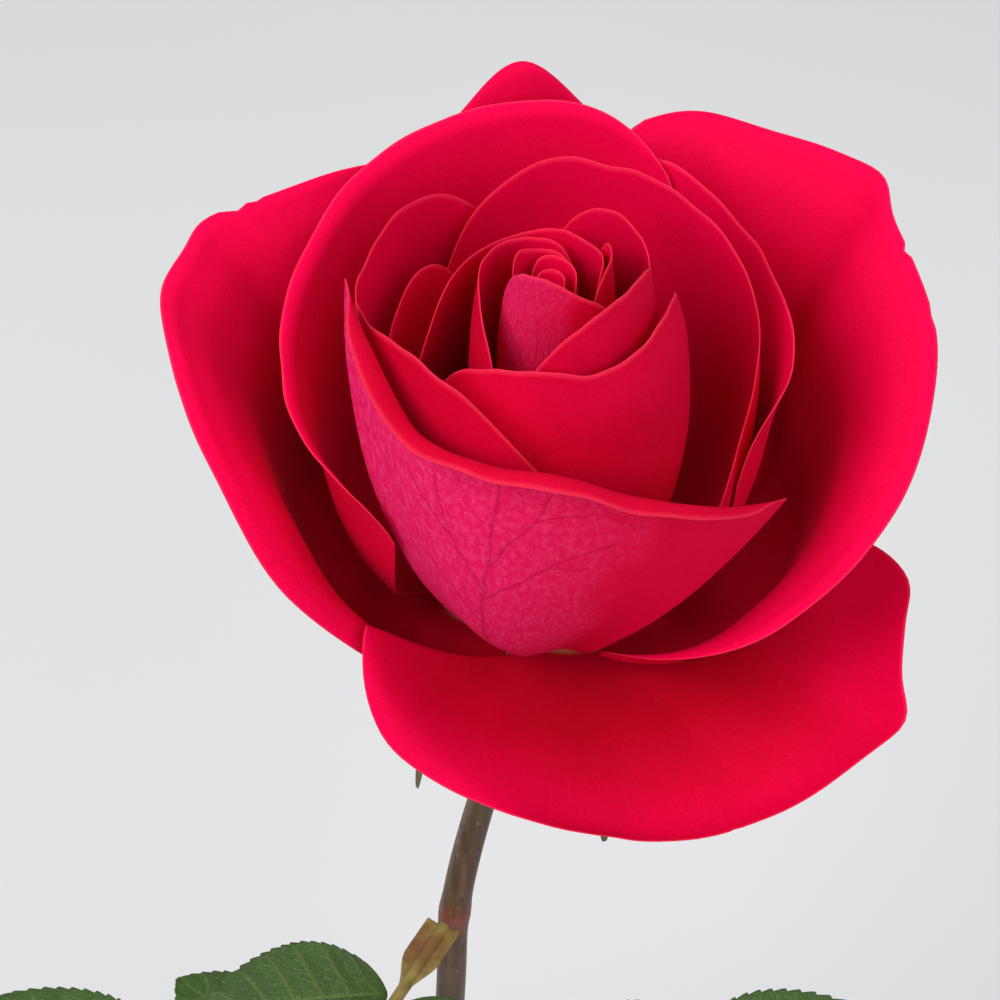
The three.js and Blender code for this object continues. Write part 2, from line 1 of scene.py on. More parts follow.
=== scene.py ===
"""The looks of a cut rose in a bud vase: velvet petals, veined leaves, a woody stem, a glazed vase.

Sizes are in millimetres until a mesh is made, and +Z is up. The bloom faces -Y.
"""
import math
import bpy
import numpy as np
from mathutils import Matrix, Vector


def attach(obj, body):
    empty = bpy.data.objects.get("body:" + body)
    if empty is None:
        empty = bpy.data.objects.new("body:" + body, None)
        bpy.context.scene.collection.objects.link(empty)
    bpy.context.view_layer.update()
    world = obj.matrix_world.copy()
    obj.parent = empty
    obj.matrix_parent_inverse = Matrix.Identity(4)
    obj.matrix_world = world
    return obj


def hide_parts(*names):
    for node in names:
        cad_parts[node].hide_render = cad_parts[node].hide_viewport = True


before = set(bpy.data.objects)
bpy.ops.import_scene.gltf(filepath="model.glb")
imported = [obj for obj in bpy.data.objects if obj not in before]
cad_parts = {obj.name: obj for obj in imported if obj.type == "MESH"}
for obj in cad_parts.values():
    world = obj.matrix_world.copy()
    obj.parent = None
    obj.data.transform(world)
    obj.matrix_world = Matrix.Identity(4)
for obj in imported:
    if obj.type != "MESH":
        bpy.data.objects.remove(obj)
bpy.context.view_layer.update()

MM = 0.001
SEED = 7

# ---------- Sizes shared with the solid parts ----------
GAP = 0.3

VASE_HEIGHT = 150.0
VASE_FOOT_RADIUS = 29.0
VASE_BELLY_RADIUS = 37.0
VASE_BELLY_HEIGHT = 46.0
VASE_NECK_LENGTH = 40.0
VASE_BORE = 18.0
VASE_FLARE = 4.5
VASE_WALL = 3.0
VASE_FLOOR = 5.0
VASE_FOOT_BEVEL = 1.2

BLOOM_RISE = 155.0
BLOOM_LEAN = 18.3
HIP_RADIUS = 7.6
HIP_LENGTH = 24.0
CONE_HEIGHT = 5.8
STEM_NECK_RADIUS = 2.1
STEM_RADIUS = 2.6
STEM_TAPER_LENGTH = 60.0
STEM_BENDS = [(-106, -15.5), (-80.5, -14.4), (-54, -10.6), (-25, -4.6), (-10, -1.5), (0, 0)]
STEM_FOOT_X = -3.0

OUTERMOST_LAYER = 12.0
INNER_SEAT_RADIUS = 0.9
CLAW_SHARE = 0.22
LIP_SHARE = 0.14
CORNER_ROUNDING = 0.3

SEPAL_HALF_WIDTH = 3.4
STALK_RADIUS = 1.1
STIPULE_LENGTH = 16.0
STIPULE_HALF_WIDTH = 3.0

bore_radius = VASE_BORE / 2
neck_radius = bore_radius + VASE_WALL
neck_base = VASE_HEIGHT - VASE_NECK_LENGTH
lean_height = neck_base + 0.65 * VASE_NECK_LENGTH
lean_x = bore_radius - STEM_RADIUS - GAP
bloom_x = lean_x + BLOOM_LEAN
bloom_z = VASE_HEIGHT + BLOOM_RISE

# Lines from a petal's base to its rim: shares of the rim's distance out and of its height
BUD = ((0, 0.5, 0.98, 1.22, 1.17, 1), (0, 0.1, 0.3, 0.58, 0.84, 1))
CUP = ((0, 0.38, 0.76, 0.97, 1.03, 1), (0, 0.07, 0.28, 0.54, 0.8, 1))
FULL = ((0, 0.5, 1.03, 1.29, 1.22, 1), (0, 0.1, 0.3, 0.58, 0.84, 1))
RING = ((0, 0.42, 0.75, 0.87, 0.93, 1), (0, 0.05, 0.24, 0.52, 0.82, 1))
FLARED = ((0, 0.42, 0.64, 0.73, 0.8, 0.9, 1), (0, 0.03, 0.16, 0.42, 0.7, 0.9, 1))
OPEN = ((0, 0.45, 0.7, 0.8, 0.88, 0.95, 1), (0, 0.03, 0.18, 0.48, 0.8, 0.98, 1))
SPOUT = ((0, 0.3, 0.5, 0.68, 0.85, 1), (0, 0.12, 0.32, 0.54, 0.78, 1))
HANGING = ((0, 0.3, 0.55, 0.76, 0.9, 1), (0, 0.08, 0.28, 0.6, 0.86, 1))

# Petals from the heart outwards.
# span: the degrees around the bloom that the rim covers, 0 at the front and 90 at the right.
# out, up: the rim's distance from the axis and its height, evenly spaced along the span.
# line, end_line: the line from base to rim, and a second one that it changes to towards the end.
# layer: how far out on the cone the petal grows, one value or several along the span.
# lip: how wide a strip of the rim rolls over, and how far it turns in degrees.
# spread: how fast the petal widens from its claw, at its start and its end.
# sag: how far the middle hangs below the line, evenly spaced along the span.
# corner: the share of the length that is rounded off at the ends of the rim.
# peaks: points or hollows in the rim, as (share of span, half width as a share, rise).
# nicks: small splits in the rim, as (share of span, half width and depth as shares).
# outside: the finish of the outer side where it isn't the red one.
PETALS = [
    dict(name="heart_petal_1", span=(20, 345), line=BUD, layer=0,
         out=[1.3, 1.5, 1.7, 2, 2.3], up=[61, 62.5, 63, 63, 62]),
    dict(name="heart_petal_2", span=(50, 250), line=BUD, layer=1.6,
         out=[2.7, 3, 3.2, 3.4, 3.4], up=[61.5, 63, 63.7, 64, 63.5]),
    dict(name="heart_petal_3", span=(-75, 40), line=BUD, layer=2.2,
         out=[3.9, 4.2, 4.3, 4.2, 3.9], up=[62, 63.6, 64.4, 64.4, 63]),
    dict(name="heart_petal_4", span=(125, 285), line=BUD, layer=3,
         out=[4.2, 4.7, 5, 5.2, 4.8], up=[60.5, 63, 64, 64.9, 62]),
    dict(name="heart_petal_pink", span=(-95, 72), line=BUD, layer=3.6, outside="blush",
         out=[6.4, 6.1, 5.8, 5.8, 6.1, 7.2, 9, 10.6], up=[60, 64.5, 67.2, 68, 67.6, 66, 64, 60]),
    dict(name="bud_petal_1", span=(35, 150), line=BUD, layer=4.2,
         out=[6.2, 6.9, 7.3, 8, 9.4], up=[61, 66.4, 66.6, 65.4, 60]),
    dict(name="bud_petal_2", span=(142, 340), line=BUD, layer=4.2,
         out=[6.2, 7.3, 8.4, 9.1, 9.3, 9.6, 11.2, 13.2], up=[62, 63, 63, 63.5, 63.6, 63, 61, 56]),
    dict(name="bud_petal_3", span=(55, 294), line=BUD, layer=5,
         out=[4.8, 5.9, 6.9, 8.2, 9.5, 11.2, 12.8, 14.4, 17.2],
         up=[65.4, 65.3, 64.4, 63.2, 63.1, 61.6, 60.2, 58.6, 54]),
    dict(name="bud_petal_4", span=(-34, 191), line=BUD, layer=5.7,
         out=[14.4, 13.2, 12.4, 12.2, 12.2, 12.1, 12.3, 12.2, 11.7, 11],
         up=[54, 62, 66, 68.3, 68.7, 65, 65.6, 66.4, 65, 62]),
    dict(name="bud_petal_5", span=(-74, 112), line=FULL, layer=7.4,
         out=[16.2, 16.2, 16.1, 15.7, 15.5, 15.5, 15.3, 15.2, 15.4],
         up=[48, 57.5, 61, 61.8, 60.5, 61.7, 63.4, 62.4, 58]),
    dict(name="bud_petal_6", span=(212, 270), line=CUP, layer=7,
         out=[19.8, 20.8, 21.4, 21.6], up=[48, 54, 52, 47]),
    dict(name="cup_petal_back", span=(60, 232), line=CUP, layer=7.8,
         out=[23.5, 26.4, 27.6, 25.6, 25, 25, 24, 21.5], up=[36, 46.5, 55, 61, 62.4, 62, 55, 44]),
    dict(name="cup_petal_left", span=(184, 376), line=CUP, layer=8.6,
         out=[28, 26.6, 25.4, 25, 24.7, 23.2, 22.4, 22, 21],
         up=[50, 58.5, 61.2, 60.2, 62, 64, 62, 54, 43]),
    dict(name="cup_petal_front", span=(-80, 62), line=CUP, layer=10.2, lip=(7, 110),
         spread=(1.5, 1.1), corner=0.12, end_line=SPOUT, outside="blush",
         out=[26.3, 25.6, 26, 26.5, 27, 28.2, 30.5, 34.3],
         up=[67, 61, 54.5, 53.6, 53.6, 49.5, 44.5, 39.5]),
    dict(name="ring_petal_right", span=(68, 178), line=RING, layer=9.8,
         out=[28.5, 31.8, 33.5, 36.5, 41, 44], up=[50, 49, 50, 50.8, 52.2, 48]),
    dict(name="ring_petal_left", span=(146, 308), line=RING, layer=10.6, lip=(3.5, 60),
         out=[37.5, 42, 43.5, 42, 38.3, 34.5, 31.3, 27],
         up=[48, 54.6, 53.4, 49.6, 44.2, 41, 38.5, 36]),
    dict(name="guard_petal_right", span=(30, 172), line=FLARED, layer=11, lip=(3, 50),
         spread=(5, 2.2), nicks=[(0.6, 0.008, 0.03), (0.53, 0.012, 0.012)],
         peaks=[(0.69, 0.035, 2.6), (0.915, 0.06, 2.5), (0.81, 0.05, -1.2)],
         out=[17, 30.5, 38.5, 45.6, 51.2, 52.6, 57.2, 55.2, 51],
         up=[6, 14.5, 22, 29, 40.5, 47.5, 48, 48, 46]),
    dict(name="guard_petal_left", span=(203, 332), line=FLARED, layer=(11.4, 11.6, 12),
         lip=(3, 50), spread=(2.2, 9), nicks=[(0.235, 0.015, 0.05), (0.21, 0.01, 0.02)],
         peaks=[(0.27, 0.042, 2.4)],
         out=[51, 50.2, 52, 52.8, 47.6, 43.5, 37.6, 24, 15],
         up=[46, 46, 46, 46, 45, 40, 24, 4.5, 0.3]),
    dict(name="guard_petal_back", span=(142, 226), line=OPEN, layer=11.8,
         out=[57, 56, 53.5, 52, 53, 54, 54], up=[30, 40, 46, 58.3, 46, 39, 30]),
    dict(name="guard_petal_front", span=(-52, 106), line=HANGING, layer=(11, 11.8, 12, 12),
         spread=(6, 4), sag=(-8.5, 0, 3.8, 5, 4), nicks=[(0.543, 0.006, 0.03), (0.409, 0.02, 0.02)],
         peaks=[(0.72, 0.03, 1.8), (0.87, 0.03, 1)],
         out=[36.5, 38.5, 37, 37.8, 40.6, 44, 48.2, 53.5, 51.7, 50.6, 45],
         up=[12.5, 5.5, 1, -1, -2.3, -3, -1.2, 5.3, 8, 11, 11]),
]
RIM_WAVER = 0.006  # share of a petal's length by which its rim comes and goes
WAVER_FULL_FROM = 40.0  # a rim's mean distance out from which it wavers in full
WAVES_FULL_FROM = 30.0  # and from which its waves have their full height
RIM_WAVE = 0.3  # height of the small waves along the rim
SWELL = 0.15  # height of the slow waves in the middle of a petal
PETAL_COLUMNS = 96
PETAL_ROWS = 56
PETAL_BODY_THICKNESS = 0.34
PETAL_RIM_THICKNESS = 0.16

SEPALS = [
    (262, [(0, 0), (5, -1.5), (9, -8), (10.5, -19), (10, -31)]),
    (300, [(0, 0), (5, -1.5), (10, -7), (12.5, -17), (14, -28)]),
    (20, [(0, 0), (6, -1.5), (12, -6), (16, -14), (17, -24)]),
    (92, [(0, 0), (6, -1), (12, -4), (18, -10), (21, -19)]),
    (165, [(0, 0), (6, -1.5), (11, -8), (13, -18), (12, -30)]),
]

LEAVES = [
    dict(name="upper", drop=80.5, azimuth=334, pairs=(0.2, 0.56), length=50, width=33,
         rise=[(0, 0), (12, 2), (36, 5), (62, 3), (84, -4)]),
    dict(name="middle", drop=123, azimuth=288, pairs=(0.3, 0.65), length=48, width=32,
         rise=[(0, 0), (12, 1), (36, 0), (58, -4), (78, -11)]),
    dict(name="lower", drop=134, azimuth=50, pairs=(0.32, 0.66), length=50, width=33,
         rise=[(0, 0), (12, 13), (36, 37), (58, 48.5), (76, 50)]),
]
SIDE_LEAFLET_SCALE = (0.64, 0.86)
SIDE_LEAFLET_TURN = 58.0
LEAFLET_DROOP = 0.16
LEAFLET_FOLD = 0.22

PRICKLES = [(97, 190), (113, 175), (129, 200), (146, 300)]
PRICKLE_LENGTH = 5.0
PRICKLE_ROOT_RADIUS = 1.7
LEAF_THICKNESS = 0.34
STIPULE_THICKNESS = 0.4


# ---------- Lines ----------
def along(values, t):
    """Values at shares t of a smooth curve through evenly spaced values."""
    values = np.asarray(values, float)
    last = len(values) - 1
    x = np.clip(t, 0, 1) * last
    i = np.minimum(np.floor(x).astype(int), last - 1)
    b, c = values[i], values[i + 1]
    a = np.where(i > 0, values[np.maximum(i - 1, 0)], 2 * b - c)
    d = np.where(i + 2 <= last, values[np.minimum(i + 2, last)], 2 * c - b)
    f = x - i
    return b + 0.5 * f * (c - a + f * (2 * a - 5 * b + 4 * c - d + f * (3 * (b - c) + d - a)))


def around(azimuth, distance, height):
    """Points at an azimuth in degrees, a distance and a height: 0 is -Y and 90 is +X."""
    angle = np.radians(azimuth)
    return np.stack(np.broadcast_arrays(distance * np.sin(angle), -distance * np.cos(angle), height), -1)


def unit(vectors):
    return vectors / np.maximum(np.linalg.norm(vectors, axis=-1, keepdims=True), 1e-12)


def smooth(t, low, high):
    x = np.clip((np.asarray(t, float) - low) / (high - low), 0, 1)
    return x * x * (3 - 2 * x)


def on_line(places, known, line):
    """Points of a line of points at places along it, where known holds its own points' places."""
    return np.stack([np.interp(places, known, line[:, axis]) for axis in range(3)], -1)


def shares(across, along_it):
    """Two grids of shares from 0 to 1: across and along, with a number of steps each way."""
    return np.meshgrid(np.linspace(0, 1, across + 1), np.linspace(0, 1, along_it + 1), indexing="ij")


def curve_points(points, count):
    """Evenly spaced points on a smooth curve through points, and its directions there."""
    points = np.asarray(points, float)
    fine = np.linspace(0, 1, 400)
    line = np.stack([along(points[:, k], fine) for k in range(3)], -1)
    run = np.concatenate([[0], np.cumsum(np.linalg.norm(np.diff(line, axis=0), axis=1))])
    placed = on_line(np.linspace(0, run[-1], count), run, line)
    return placed, unit(np.gradient(placed, axis=0)), run[-1]


# ---------- Meshes ----------
def to_scene(name, data):
    made = bpy.data.objects.new(name, data)
    bpy.context.scene.collection.objects.link(made)
    return made


def set_point_values(mesh, values_by_name):
    for key, values in values_by_name.items():
        layer = mesh.attributes.new(key, "FLOAT", "POINT")
        layer.data.foreach_set("value", np.asarray(values, np.float32))


def make_mesh(name, points, faces, attributes, uv, material):
    """Object from points in millimetres, with one value of each attribute for each point."""
    mesh = bpy.data.meshes.new(name)
    mesh.from_pydata((np.asarray(points) * MM).tolist(), [], [list(map(int, f)) for f in faces])
    set_point_values(mesh, attributes)
    if uv is not None:
        layer = mesh.uv_layers.new(name="UVMap")
        corner = np.zeros(len(mesh.loops), np.int32)
        mesh.loops.foreach_get("vertex_index", corner)
        layer.data.foreach_set("uv", np.asarray(uv, np.float32)[corner].ravel())
    mesh.polygons.foreach_set("use_smooth", np.ones(len(mesh.polygons), bool))
    mesh.update()
    mesh.materials.append(material)
    return to_scene(name, mesh)


def shell(grid, thickness, u, v):
    """Closed thin body around a grid of points: (points, faces, side, uv).

    thickness is one value for each point of the grid. side is 1 on the side that the grid's own
    normal points to, 0 on the other and half of that along the rim.
    """
    columns, rows = grid.shape[0] - 1, grid.shape[1] - 1
    du = np.gradient(grid, axis=0)
    dv = np.gradient(grid, axis=1)
    normal = unit(np.cross(du, dv))
    half = 0.5 * thickness[..., None]
    number = np.arange((columns + 1) * (rows + 1)).reshape(columns + 1, rows + 1)
    total = number.size
    ring = [(i, 0) for i in range(columns)] + [(columns, j) for j in range(rows)]
    ring += [(i, rows) for i in range(columns, 0, -1)] + [(0, j) for j in range(rows, 0, -1)]
    rim = np.array(ring)
    edge = grid[rim[:, 0], rim[:, 1]]
    run = unit(np.roll(edge, -1, 0) - np.roll(edge, 1, 0))
    away = unit(np.cross(run, normal[rim[:, 0], rim[:, 1]]))
    swell = 0.5 * thickness[rim[:, 0], rim[:, 1]][:, None]
    points = np.concatenate([
        (grid + normal * half).reshape(-1, 3), (grid - normal * half).reshape(-1, 3),
        edge + away * swell])
    a, b, c, d = number[:-1, :-1], number[1:, :-1], number[1:, 1:], number[:-1, 1:]
    top = np.stack([a, b, c, d], -1).reshape(-1, 4)
    faces = [top, (top + total)[:, ::-1]]
    border = number[rim[:, 0], rim[:, 1]]
    following = np.roll(border, -1)
    middle = 2 * total + np.arange(len(border))
    after = np.roll(middle, -1)
    faces.append(np.stack([following, border, middle, after], -1))
    faces.append(np.stack([after, middle, border + total, following + total], -1))
    faces = np.concatenate(faces)
    side = np.concatenate([np.ones(total), np.zeros(total), np.full(len(border), 0.5)])
    plan = np.stack(np.broadcast_arrays(u, v), -1).reshape(-1, 2)
    uv = np.concatenate([plan, plan, plan[border]])
    return points, faces, side, uv


def facing_out(points, faces):
    """The faces, turned round if their normals point into the body that they close."""
    volume = 0.0
    for k in range(2, faces.shape[1]):
        a, b, c = points[faces[:, 0]], points[faces[:, k - 1]], points[faces[:, k]]
        volume += np.einsum("ij,ij->", a, np.cross(b, c))
    return faces[:, ::-1] if volume < 0 else faces


# ---------- Node building ----------
def feed(tree, socket, value):
    """Gives a socket a value or another node's output."""
    if isinstance(value, bpy.types.NodeSocket):
        tree.links.new(value, socket)
    else:
        socket.default_value = value


def node(tree, kind, inputs=None, **settings):
    """A node with its settings and its inputs, each a value or another node's output."""
    made = tree.nodes.new(kind)
    for key, value in settings.items():
        setattr(made, key, value)
    for key, value in (inputs or {}).items():
        feed(tree, made.inputs[key], value)
    return made


def math_node(tree, operation, a, b, clamp=False):
    return node(tree, "ShaderNodeMath", {0: a, 1: b}, operation=operation, use_clamp=clamp).outputs[0]


def ramp(tree, value, stops):
    """Levels at places along a value: stops is a list of (place, level)."""
    made = tree.nodes.new("ShaderNodeValToRGB")
    elements = made.color_ramp.elements
    while len(elements) < len(stops):
        elements.new(0.5)
    for element, (place, level) in zip(elements, stops):
        element.position = place
        element.color = (level, level, level, 1)
    tree.links.new(value, made.inputs[0])
    return made.outputs[0]


def blend_colours(tree, factor, a, b, mode="MIX"):
    made = node(tree, "ShaderNodeMix", data_type="RGBA", blend_type=mode)
    for socket, value in ((0, factor), (6, a), (7, b)):
        feed(tree, made.inputs[socket], (*value, 1) if isinstance(value, tuple) else value)
    return made.outputs[2]


def noise(tree, vector, scale, detail=3.0, roughness=0.5, distortion=0.0):
    made = node(tree, "ShaderNodeTexNoise", {"Vector": vector, "Scale": scale, "Detail": detail,
                                             "Roughness": roughness, "Distortion": distortion})
    return made.outputs["Fac"]


def mapped(tree, vector, scale=(1, 1, 1), location=(0, 0, 0)):
    inputs = {"Vector": vector, "Scale": scale, "Location": location}
    return node(tree, "ShaderNodeMapping", inputs).outputs[0]


def object_place(tree):
    return node(tree, "ShaderNodeTexCoord").outputs["Object"]


def point_value(tree, name):
    """The value that a mesh's points hold under a name."""
    return node(tree, "ShaderNodeAttribute", attribute_name=name).outputs["Fac"]


def material(name, **finish):
    """A material with its shader's even values set, and its tree and shader to build on."""
    made = bpy.data.materials.new(name)
    made.use_nodes = True
    tree = made.node_tree
    shader = tree.nodes["Principled BSDF"]
    for key, value in finish.items():
        shader.inputs[key.replace("_", " ")].default_value = value
    return made, tree, shader


def bump(tree, shader, height, distance, strength):
    """Relief on a shader: distance is its depth in metres."""
    made = node(tree, "ShaderNodeBump", {"Height": height, "Distance": distance, "Strength": strength})
    tree.links.new(made.outputs[0], shader.inputs["Normal"])


# ---------- Finishes ----------
CRIMSON = (0.66, 0.0012, 0.025)
CRIMSON_DEEP = (0.52, 0.0012, 0.015)
ROSE_RED = (0.74, 0.0012, 0.038)
# Painted light: the brighter red laid on petal rims where the light falls
RIM_LIGHT_RED = (0.95, 0.001, 0.072)
# Painted highlight: the pale pink line along the very edge of a petal's rim
EDGE_HIGHLIGHT_PINK = (0.95, 0.06, 0.11)
BLUSH = (0.86, 0.010, 0.125)
BLUSH_PALE = (0.97, 0.075, 0.245)
BLUSH_VEIN = (0.46, 0.004, 0.048)
VEIN_WANDER = 0.03  # how strongly the veins are bent

# Branching veins of the front cup petal, in shares across and along it: (start, end, width)
CUP_VEINS = [
    ((0.33, 0.30), (0.40, 0.52), 0.009), ((0.40, 0.52), (0.435, 0.64), 0.008),
    ((0.435, 0.64), (0.46, 0.85), 0.007), ((0.41, 0.54), (0.34, 0.66), 0.006),
    ((0.34, 0.66), (0.32, 0.80), 0.005), ((0.34, 0.66), (0.24, 0.76), 0.005),
    ((0.37, 0.43), (0.26, 0.56), 0.005), ((0.26, 0.56), (0.14, 0.66), 0.004),
    ((0.43, 0.62), (0.53, 0.74), 0.006), ((0.53, 0.74), (0.56, 0.84), 0.004),
    ((0.53, 0.74), (0.64, 0.80), 0.004), ((0.40, 0.52), (0.56, 0.62), 0.006),
    ((0.56, 0.62), (0.70, 0.72), 0.004), ((0.56, 0.62), (0.66, 0.63), 0.004),
]
CLAW_CREAM = (0.80, 0.52, 0.22)


def vein_segment(tree, place, start, end, width):
    """How far a place lies inside a thin vein between two points of the petal, 0 to 1."""
    reach = [b - a for a, b in zip(start, end)]
    offset = node(tree, "ShaderNodeVectorMath", {0: place, 1: (*start, 0)}, operation="SUBTRACT").outputs[0]
    dot = node(tree, "ShaderNodeVectorMath", {0: offset, 1: (*reach, 0)}, operation="DOT_PRODUCT")
    along_it = dot.outputs["Value"]
    share = math_node(tree, "MULTIPLY", along_it, 1 / (reach[0] ** 2 + reach[1] ** 2), clamp=True)
    nearest = node(tree, "ShaderNodeVectorMath", {0: (*reach, 0), 3: share}, operation="SCALE").outputs[0]
    gap = node(tree, "ShaderNodeVectorMath", {0: offset, 1: nearest}, operation="DISTANCE").outputs["Value"]
    return ramp(tree, math_node(tree, "DIVIDE", gap, width), [(0.0, 1), (0.4, 0.5), (1.0, 0)])


def petal_finish(name, outside, seed, veins=()):
    """Velvet petal: deep colour within, its own colour outside and a pale claw, with painted light on the
    rim, a painted highlight on its edge and painted shade towards the claw.
    """
    made, tree, shader = material(name, Roughness=0.66, Specular_IOR_Level=0.03, Sheen_Weight=0.02,
                                  Sheen_Roughness=0.4)
    shader.inputs["Sheen Tint"].default_value = (1.0, 0.12, 0.30, 1)
    uv = node(tree, "ShaderNodeUVMap", uv_map="UVMap").outputs[0]
    place = object_place(tree)
    split = node(tree, "ShaderNodeSeparateXYZ", {0: uv})
    u, v = split.outputs[0], split.outputs[1]
    side = point_value(tree, "outside")
    patches = noise(tree, place, 45.0, 4.0, 0.6)
    grain = noise(tree, place, 2600.0, 2.0, 0.6)
    fine = noise(tree, mapped(tree, uv, (150, 9, 1), (seed * 1.7, 0, 0)), 1.0, 2.0)
    patch = ramp(tree, patches, [(0.35, 0), (0.68, 1)])
    inner = blend_colours(tree, patch, CRIMSON_DEEP, CRIMSON)
    outer = blend_colours(tree, patch, CRIMSON, ROSE_RED)
    marks = fine
    if outside == "blush":
        # Pink fades to red towards one end of the petal and is mottled with paler flecks
        flush = math_node(tree, "ADD", u, math_node(tree, "MULTIPLY", patches, 0.5))
        flush = ramp(tree, flush, [(0.45, 1), (0.9, 0.45), (1.15, 0.0)])
        mottle = noise(tree, mapped(tree, uv, (70, 48, 1), (seed, 0, 0)), 1.0, 4.0, 0.65, 0.4)
        mottled = ramp(tree, mottle, [(0.45, 0), (0.72, 0.8)])
        pink = blend_colours(tree, mottled, BLUSH, BLUSH_PALE)
        outer = blend_colours(tree, flush, ROSE_RED, pink)
        wander = node(tree, "ShaderNodeTexNoise", {"Vector": uv, "Scale": 14.0, "Detail": 3.0})
        bent = mapped(tree, blend_colours(tree, VEIN_WANDER, uv, wander.outputs["Color"], "ADD"), (1, 1, 0))
        web = 0.0
        for start, end, width in veins:
            start = [c + VEIN_WANDER / 2 for c in start]
            end = [c + VEIN_WANDER / 2 for c in end]
            web = math_node(tree, "MAXIMUM", web, vein_segment(tree, bent, start, end, width))
        outer = blend_colours(tree, math_node(tree, "MULTIPLY", web, 0.7), outer, BLUSH_VEIN)
        marks = math_node(tree, "SUBTRACT", math_node(tree, "MULTIPLY", mottle, 1.4), web)
    body = blend_colours(tree, side, inner, outer)
    # Painted light: the rims turn brighter red towards the edge, mostly on the inner side and less on the
    # blush petals
    rim_light_top = 0.25 if outside == "blush" else 1.0
    rim = ramp(tree, v, [(0.35, 0.0), (0.8, 0.6 * rim_light_top), (1.0, rim_light_top)])
    inward = math_node(tree, "SUBTRACT", 1.0, math_node(tree, "MULTIPLY", side, 0.8))
    rim = math_node(tree, "MULTIPLY", rim, inward)
    body = blend_colours(tree, rim, body, RIM_LIGHT_RED)
    # Painted highlight: a thin paler pink line where the light catches the very edge of the rim
    edge = ramp(tree, v, [(0.985, 0), (1.0, 0.4)])
    body = blend_colours(tree, edge, body, EDGE_HIGHLIGHT_PINK)
    # Painted shade: the colour darkens towards the claw, where the petal lies deep in the shaded bloom
    depth = ramp(tree, v, [(0.1, 0.72), (0.6, 1)])
    body = blend_colours(tree, 1.0, body, depth, "MULTIPLY")
    claw = ramp(tree, v, [(0.0, 1), (0.03, 0.85), (0.075, 0)])
    body = blend_colours(tree, claw, body, CLAW_CREAM)
    grained = ramp(tree, grain, [(0.3, 0.86), (0.7, 1.0)])
    body = blend_colours(tree, 1.0, body, grained, "MULTIPLY")
    tree.links.new(body, shader.inputs["Base Color"])
    relief = math_node(tree, "ADD", math_node(tree, "MULTIPLY", marks, 0.3),
                       math_node(tree, "MULTIPLY", grain, 0.2))
    bump(tree, shader, relief, 0.00022, 0.5)
    return made


def bark_finish():
    """Young rose wood: brown over green, with pale flecks along the stem and a redder joint."""
    made, tree, shader = material("young_bark", Roughness=0.5, Specular_IOR_Level=0.4)
    place = object_place(tree)
    long_way = mapped(tree, place, (1, 1, 0.12))
    streak = noise(tree, long_way, 900.0, 4.0, 0.6)
    blotch = noise(tree, place, 60.0, 3.0)
    colour = blend_colours(tree, ramp(tree, streak, [(0.35, 0), (0.7, 1)]),
                           (0.075, 0.034, 0.020), (0.150, 0.080, 0.040))
    colour = blend_colours(tree, ramp(tree, blotch, [(0.5, 0), (0.75, 0.6)]),
                           colour, (0.10, 0.105, 0.030))
    tone = point_value(tree, "tone")
    colour = blend_colours(tree, ramp(tree, tone, [(0.0, 0), (1.0, 1)]),
                           colour, (0.26, 0.055, 0.030))
    stretched = mapped(tree, place, (1, 1, 0.45))
    flecks = node(tree, "ShaderNodeTexVoronoi", {"Vector": stretched, "Scale": 700.0})
    fleck = ramp(tree, flecks.outputs["Distance"], [(0.0, 1), (0.16, 0.9), (0.24, 0)])
    colour = blend_colours(tree, math_node(tree, "MULTIPLY", fleck, 0.35), colour, (0.30, 0.22, 0.12))
    tree.links.new(colour, shader.inputs["Base Color"])
    bump(tree, shader, math_node(tree, "ADD", streak, fleck), 0.00012, 0.6)
    return made


def stalk_finish():
    """Leaf stalks: yellow-green, flushed reddish brown in patches."""
    made, tree, shader = material("leaf_stalk", Roughness=0.5, Specular_IOR_Level=0.4)
    place = object_place(tree)
    streak = noise(tree, mapped(tree, place, (1, 1, 0.3)), 500.0, 4.0)
    blotch = noise(tree, place, 70.0, 2.0)
    colour = blend_colours(tree, ramp(tree, streak, [(0.3, 0), (0.7, 1)]),
                           (0.20, 0.145, 0.030), (0.34, 0.26, 0.070))
    colour = blend_colours(tree, ramp(tree, blotch, [(0.45, 0), (0.65, 0.8)]),
                           colour, (0.20, 0.065, 0.030))
    tree.links.new(colour, shader.inputs["Base Color"])
    bump(tree, shader, streak, 0.0001, 0.5)
    return made


def leaf_finish(name, top, underside, vein_colour):
    """Leaf: glossy deep green above, greyer and matt below, with paler veins and fine netting."""
    made, tree, shader = material(name, Roughness=0.42, Specular_IOR_Level=0.45)
    uv = node(tree, "ShaderNodeUVMap", uv_map="UVMap").outputs[0]
    place = object_place(tree)
    side = point_value(tree, "outside")
    vein = point_value(tree, "vein")
    patches = noise(tree, place, 90.0, 4.0, 0.6)
    cells = node(tree, "ShaderNodeTexVoronoi", {"Vector": mapped(tree, uv, (26, 34, 1)), "Scale": 1.0},
                 feature="DISTANCE_TO_EDGE").outputs["Distance"]
    net = ramp(tree, cells, [(0.0, 1), (0.10, 0.2), (0.22, 0)])
    above = blend_colours(tree, ramp(tree, patches, [(0.3, 0), (0.7, 1)]),
                          tuple(0.62 * c for c in top), top)
    below = blend_colours(tree, patches, tuple(0.8 * c for c in underside), underside)
    colour = blend_colours(tree, side, above, below)
    colour = blend_colours(tree, math_node(tree, "MULTIPLY", net, 0.22), colour, vein_colour)
    colour = blend_colours(tree, math_node(tree, "MULTIPLY", vein, 0.6), colour, vein_colour)
    tree.links.new(colour, shader.inputs["Base Color"])
    rough = ramp(tree, side, [(0.0, 0.38), (1.0, 0.75)])
    tree.links.new(rough, shader.inputs["Roughness"])
    relief = math_node(tree, "SUBTRACT", math_node(tree, "MULTIPLY", patches, 0.4),
                       math_node(tree, "MULTIPLY", net, 0.5))
    bump(tree, shader, relief, 0.00018, 0.7)
    return made


